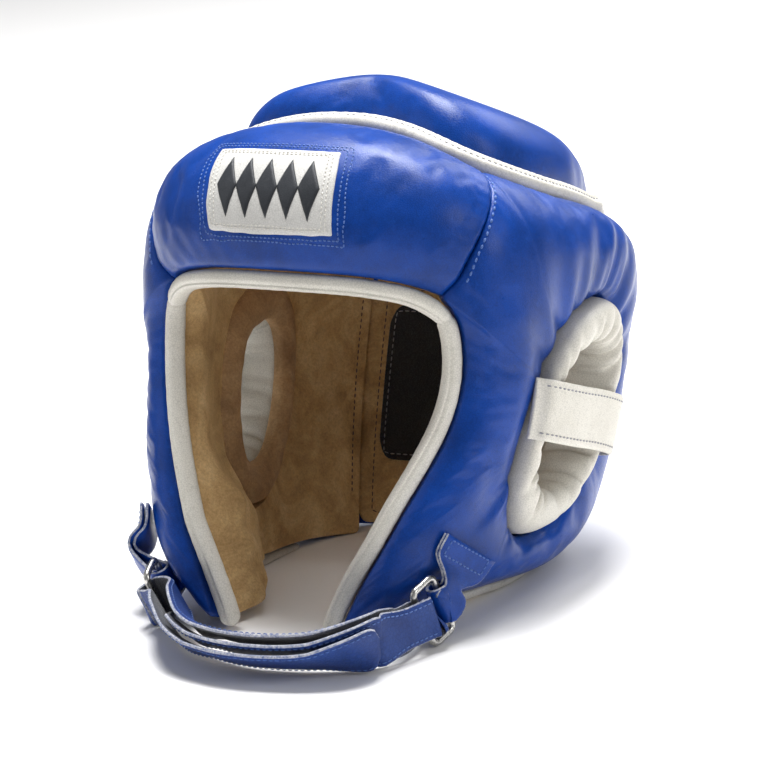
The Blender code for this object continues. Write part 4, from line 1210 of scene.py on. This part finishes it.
def strap_width(point):
    return lerp(STRAP_WIDTH, STRAP_NECK, ring_share(point))


def strap_line(steps):
    bars = []
    for side in (-1, 1):
        centre, _, along, _ = ring_frame(side)
        bars.append(np.array(centre - along * RING_DROP / 2))
    route = []
    for x, y in STRAP_ROUTE:
        point = np.array([x, y + SHIFT, 0.0])
        across = strap_across(point)
        rise = strap_width(point) / 2 * across[2] + layer_offset(point) * abs(across[1]) + STRAP_THICK
        route.append([point[0], point[1], rise])
    return smooth_line([bars[0], *route, bars[1]], steps)


def strap_out(line):
    along = np.gradient(line, axis=0)
    out = np.cross(along, strap_across(line))
    return out / np.linalg.norm(out, axis=1)[:, None]


def fold(line, last, reach, count=12):
    """Half turn of the strap round a ring's bar, from its inner side to its outer side."""
    end, before = (line[-1], line[-2]) if last else (line[0], line[1])
    along = (end - before) / np.linalg.norm(end - before)
    out = strap_out(line)[-1 if last else 0]
    angle = np.pi * np.arange(1, count) / count
    return end - out * reach * np.cos(angle)[:, None] + along * reach * np.sin(angle)[:, None]


def chin_strap():
    line = strap_line(5)
    out = strap_out(line)
    inner = line - out * layer_offset(line)[:, None]
    outer = line + out * layer_offset(line)[:, None]
    last = len(line) - 1
    back = line[last - 7:last // 3:-1]
    near, far = fold(line, False, STRAP_LAYER)[::-1], fold(line, True, STRAP_LAYER)
    run = np.vstack([outer[:1], near, inner, far, outer[-1:], lerp(back[:1], outer[-1:], 0.5), back])
    beside = np.vstack([np.repeat(line[:1], len(near) + 1, 0), line, np.repeat(line[-1:], len(far) + 2, 0),
                        back])
    both = smooth_line(np.hstack([run, beside]), 3)
    run, sides, widths = both[:, :3], strap_across(both[:, 3:]), strap_width(both[:, 3:])
    made = band("chin_strap_webbing", run, sides, widths, STRAP_THICK, [VELVET, EDGE, BLUE_COARSE], 0.25)
    settle(made, "chin_strap", ("chin_strap",))
    rows = band_runs(run, sides, widths, (2.0, -2.0), -1)
    stitches("chin_strap_stitching", rows, THREAD_BLUE, "chin_strap", pitch=2.8, length=2.0,
             thick=0.3)

    both = smooth_line(np.hstack([outer[1:last - 7], line[1:last - 7]]), 3)
    closing, sides, widths = both[:, :3], strap_across(both[:, 3:]), strap_width(both[:, 3:])
    to_tip = np.concatenate([np.cumsum(np.linalg.norm(np.diff(closing, axis=0), axis=1)[::-1])[::-1], [0]])
    corner = 1 - np.clip(to_tip / 8.0, 0, 1)
    widths = widths - 14.0 * (1 - np.sqrt(1 - corner ** 2))
    made = band("strap_end_webbing", closing, sides, widths, STRAP_THICK, [BLUE_COARSE, EDGE, VELVET], 0.25)
    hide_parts("strap_end")
    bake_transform(made)
    rows = band_runs(closing, sides, widths, (2.0, -2.0), 1, (9, 2))
    stitches("strap_end_stitching", rows, THREAD_BLUE, "strap_end", pitch=2.8, length=2.0,
             thick=0.3)


def strap_tab(prefix, side):
    """Leather tab sewn to the cheek in two layers and folded round the ring's bar."""
    centre, across, along, _ = ring_frame(side)
    bar = centre + along * RING_DROP / 2
    bend = RING_WIRE / 2 + TAB_THICK / 2 + RING_PLAY
    layer = TAB_THICK / 2 + 0.25
    root = [Vector(on_head(side * t, v, PANEL + off)) for (t, v), off in zip(TAB_ROOT, TAB_STANDOFF[side])]
    lift = (Vector(on_head(side * TAB_ROOT[1][0], TAB_ROOT[1][1], PANEL + 9.0)) - root[1]).normalized()
    towards = bar - root[-1]
    towards = (towards - across * towards.dot(across)).normalized()
    away = towards.cross(across).normalized()
    if away.dot(lift) < 0:
        away = -away
    turn = [bar - towards * bend * math.cos(a) + away * bend * math.sin(a)
            for a in (math.radians(58 + 244 * k / 8) for k in range(9))]
    centres = [p + lift * layer * 2 for p in root] + turn + root[::-1]
    straight = to_side(TAB_ACROSS, side) * -1.0
    sides = [straight, straight, straight.lerp(across, 0.8)]
    sides = sides + [across] * len(turn) + sides[::-1]
    widths = [TAB_WIDTH, TAB_WIDTH - 3, STRAP_NECK - 8]
    widths = widths + [STRAP_NECK - 1] * len(turn) + widths[::-1]
    route = smooth_line([(*c, *s, w) for c, s, w in zip(centres, sides, widths)], 5)
    line, sides, widths = route[:, :3], route[:, 3:6], route[:, 6]
    made = band(prefix + "_tab_leather", line, sides, widths, TAB_THICK, [BLUE, EDGE, BLUE])
    tree = tree_of(made)
    settle(made, replaces=(prefix + "_strap_tab",))
    runs = []
    reach = np.linspace(0, 1, 12)[:, None]
    first, second = np.array(root[0] + lift * 4), np.array(root[1] + lift * 4)
    wide = np.array(straight)
    for share in (0.14, 0.86):
        middle = lerp(first, second, share)
        runs.append(laid_on(tree, lerp(middle - wide * 11.5, middle + wide * 11.5, reach), 0.12))
    down = lerp(lerp(first, second, 0.14), lerp(first, second, 0.86), reach)
    for mark in (-11.5, 11.5):
        runs.append(laid_on(tree, down + wide * mark, 0.12))
    stitches(prefix + "_tab_stitching", runs, THREAD_BLUE, pitch=2.4, length=1.7, thick=0.34)


# ---------------------------------------------------------------- studio
def studio():
    """Pale seamless floor, soft overhead and side light, white surroundings."""
    half = 4.0 / MM
    corners = [(-half, -half, 0), (half, -half, 0), (half, half, 0), (-half, half, 0)]
    floor = make("studio_floor", corners, [(0, 1, 2, 3)], shader("floor_paper", (0.92, 0.91, 0.90), 0.95)[0])
    floor.location.z = -0.0002
    world = bpy.data.worlds.new("surroundings")
    world.use_nodes = True
    world.node_tree.nodes["Background"].inputs["Color"].default_value = (0.95, 0.97, 1.0, 1)
    world.node_tree.nodes["Background"].inputs["Strength"].default_value = 0.24
    bpy.context.scene.world = world
    for name, place, size, power in (("softbox_top", (-0.1, 0.3, 1.4), 0.7, 46.0),
                                     ("softbox_left", (-1.3, -1.0, 0.9), 0.9, 3.0),
                                     ("softbox_right", (1.4, -0.2, 0.8), 0.5, 5.0),
                                     ("softbox_low", (0.5, -1.3, 0.16), 0.3, 0.5),
                                     ("softbox_back", (0.3, 1.7, 1.3), 1.1, 16.0)):
        data = bpy.data.lights.new(name, "AREA")
        data.shape = "SQUARE"
        data.size = size
        data.energy = power
        light = bpy.data.objects.new(name, data)
        light.location = place
        light.rotation_euler = (Vector((0, 0, 0.1)) - Vector(place)).to_track_quat("-Z", "Y").to_euler()
        bpy.context.scene.collection.objects.link(light)


def camera():
    """Long lens, 31 degrees to the wearer's left and 15 degrees up, rolled 4.5 degrees."""
    azimuth, tilt, roll, away = math.radians(31), math.radians(15), math.radians(4.5), 1.9
    target = Vector((0.0, SHIFT, LIFT)) * MM
    back = Vector((math.sin(azimuth) * math.cos(tilt), -math.cos(azimuth) * math.cos(tilt), math.sin(tilt)))
    right = Vector((math.cos(azimuth), math.sin(azimuth), 0.0))
    up = back.cross(right)
    turned_right = right * math.cos(roll) - up * math.sin(roll)
    turned_up = right * math.sin(roll) + up * math.cos(roll)
    data = bpy.data.cameras.new("camera")
    data.sensor_width = 36.0
    data.lens = 195.9
    data.shift_x, data.shift_y = -4.0 / 768.0, -18.0 / 768.0
    made = bpy.data.objects.new("camera", data)
    made.matrix_world = Matrix((turned_right, turned_up, back)).transposed().to_4x4()
    made.location = target + back * away
    bpy.context.scene.collection.objects.link(made)
    bpy.context.scene.camera = made


# ---------------------------------------------------------------- build
studio()
camera()
front = front_pad()
forehead_patch(front)
sides_made = {"left": side_pad("left", 1), "right": side_pad("right", -1)}
crown_pad()
linings()
face_binding()
cord_round, cord_line, cord_out = crown_binding()
pad_stitching(sides_made, cord_round, cord_line, cord_out)
lining_stitching({side: bpy.data.objects[side + "_lining_suede"] for side in ("left", "right")})
for prefix, side in (("left", 1), ("right", -1)):
    bottom_piping(prefix, side)
    ear_ring(prefix, side)
    ear_pad(prefix, side)
    ear_strap(prefix, side)
    strap_ring(prefix, side)
    strap_tab(prefix, side)
rear_closure()
chin_strap()
bpy.context.scene.view_settings.view_transform = "Standard"
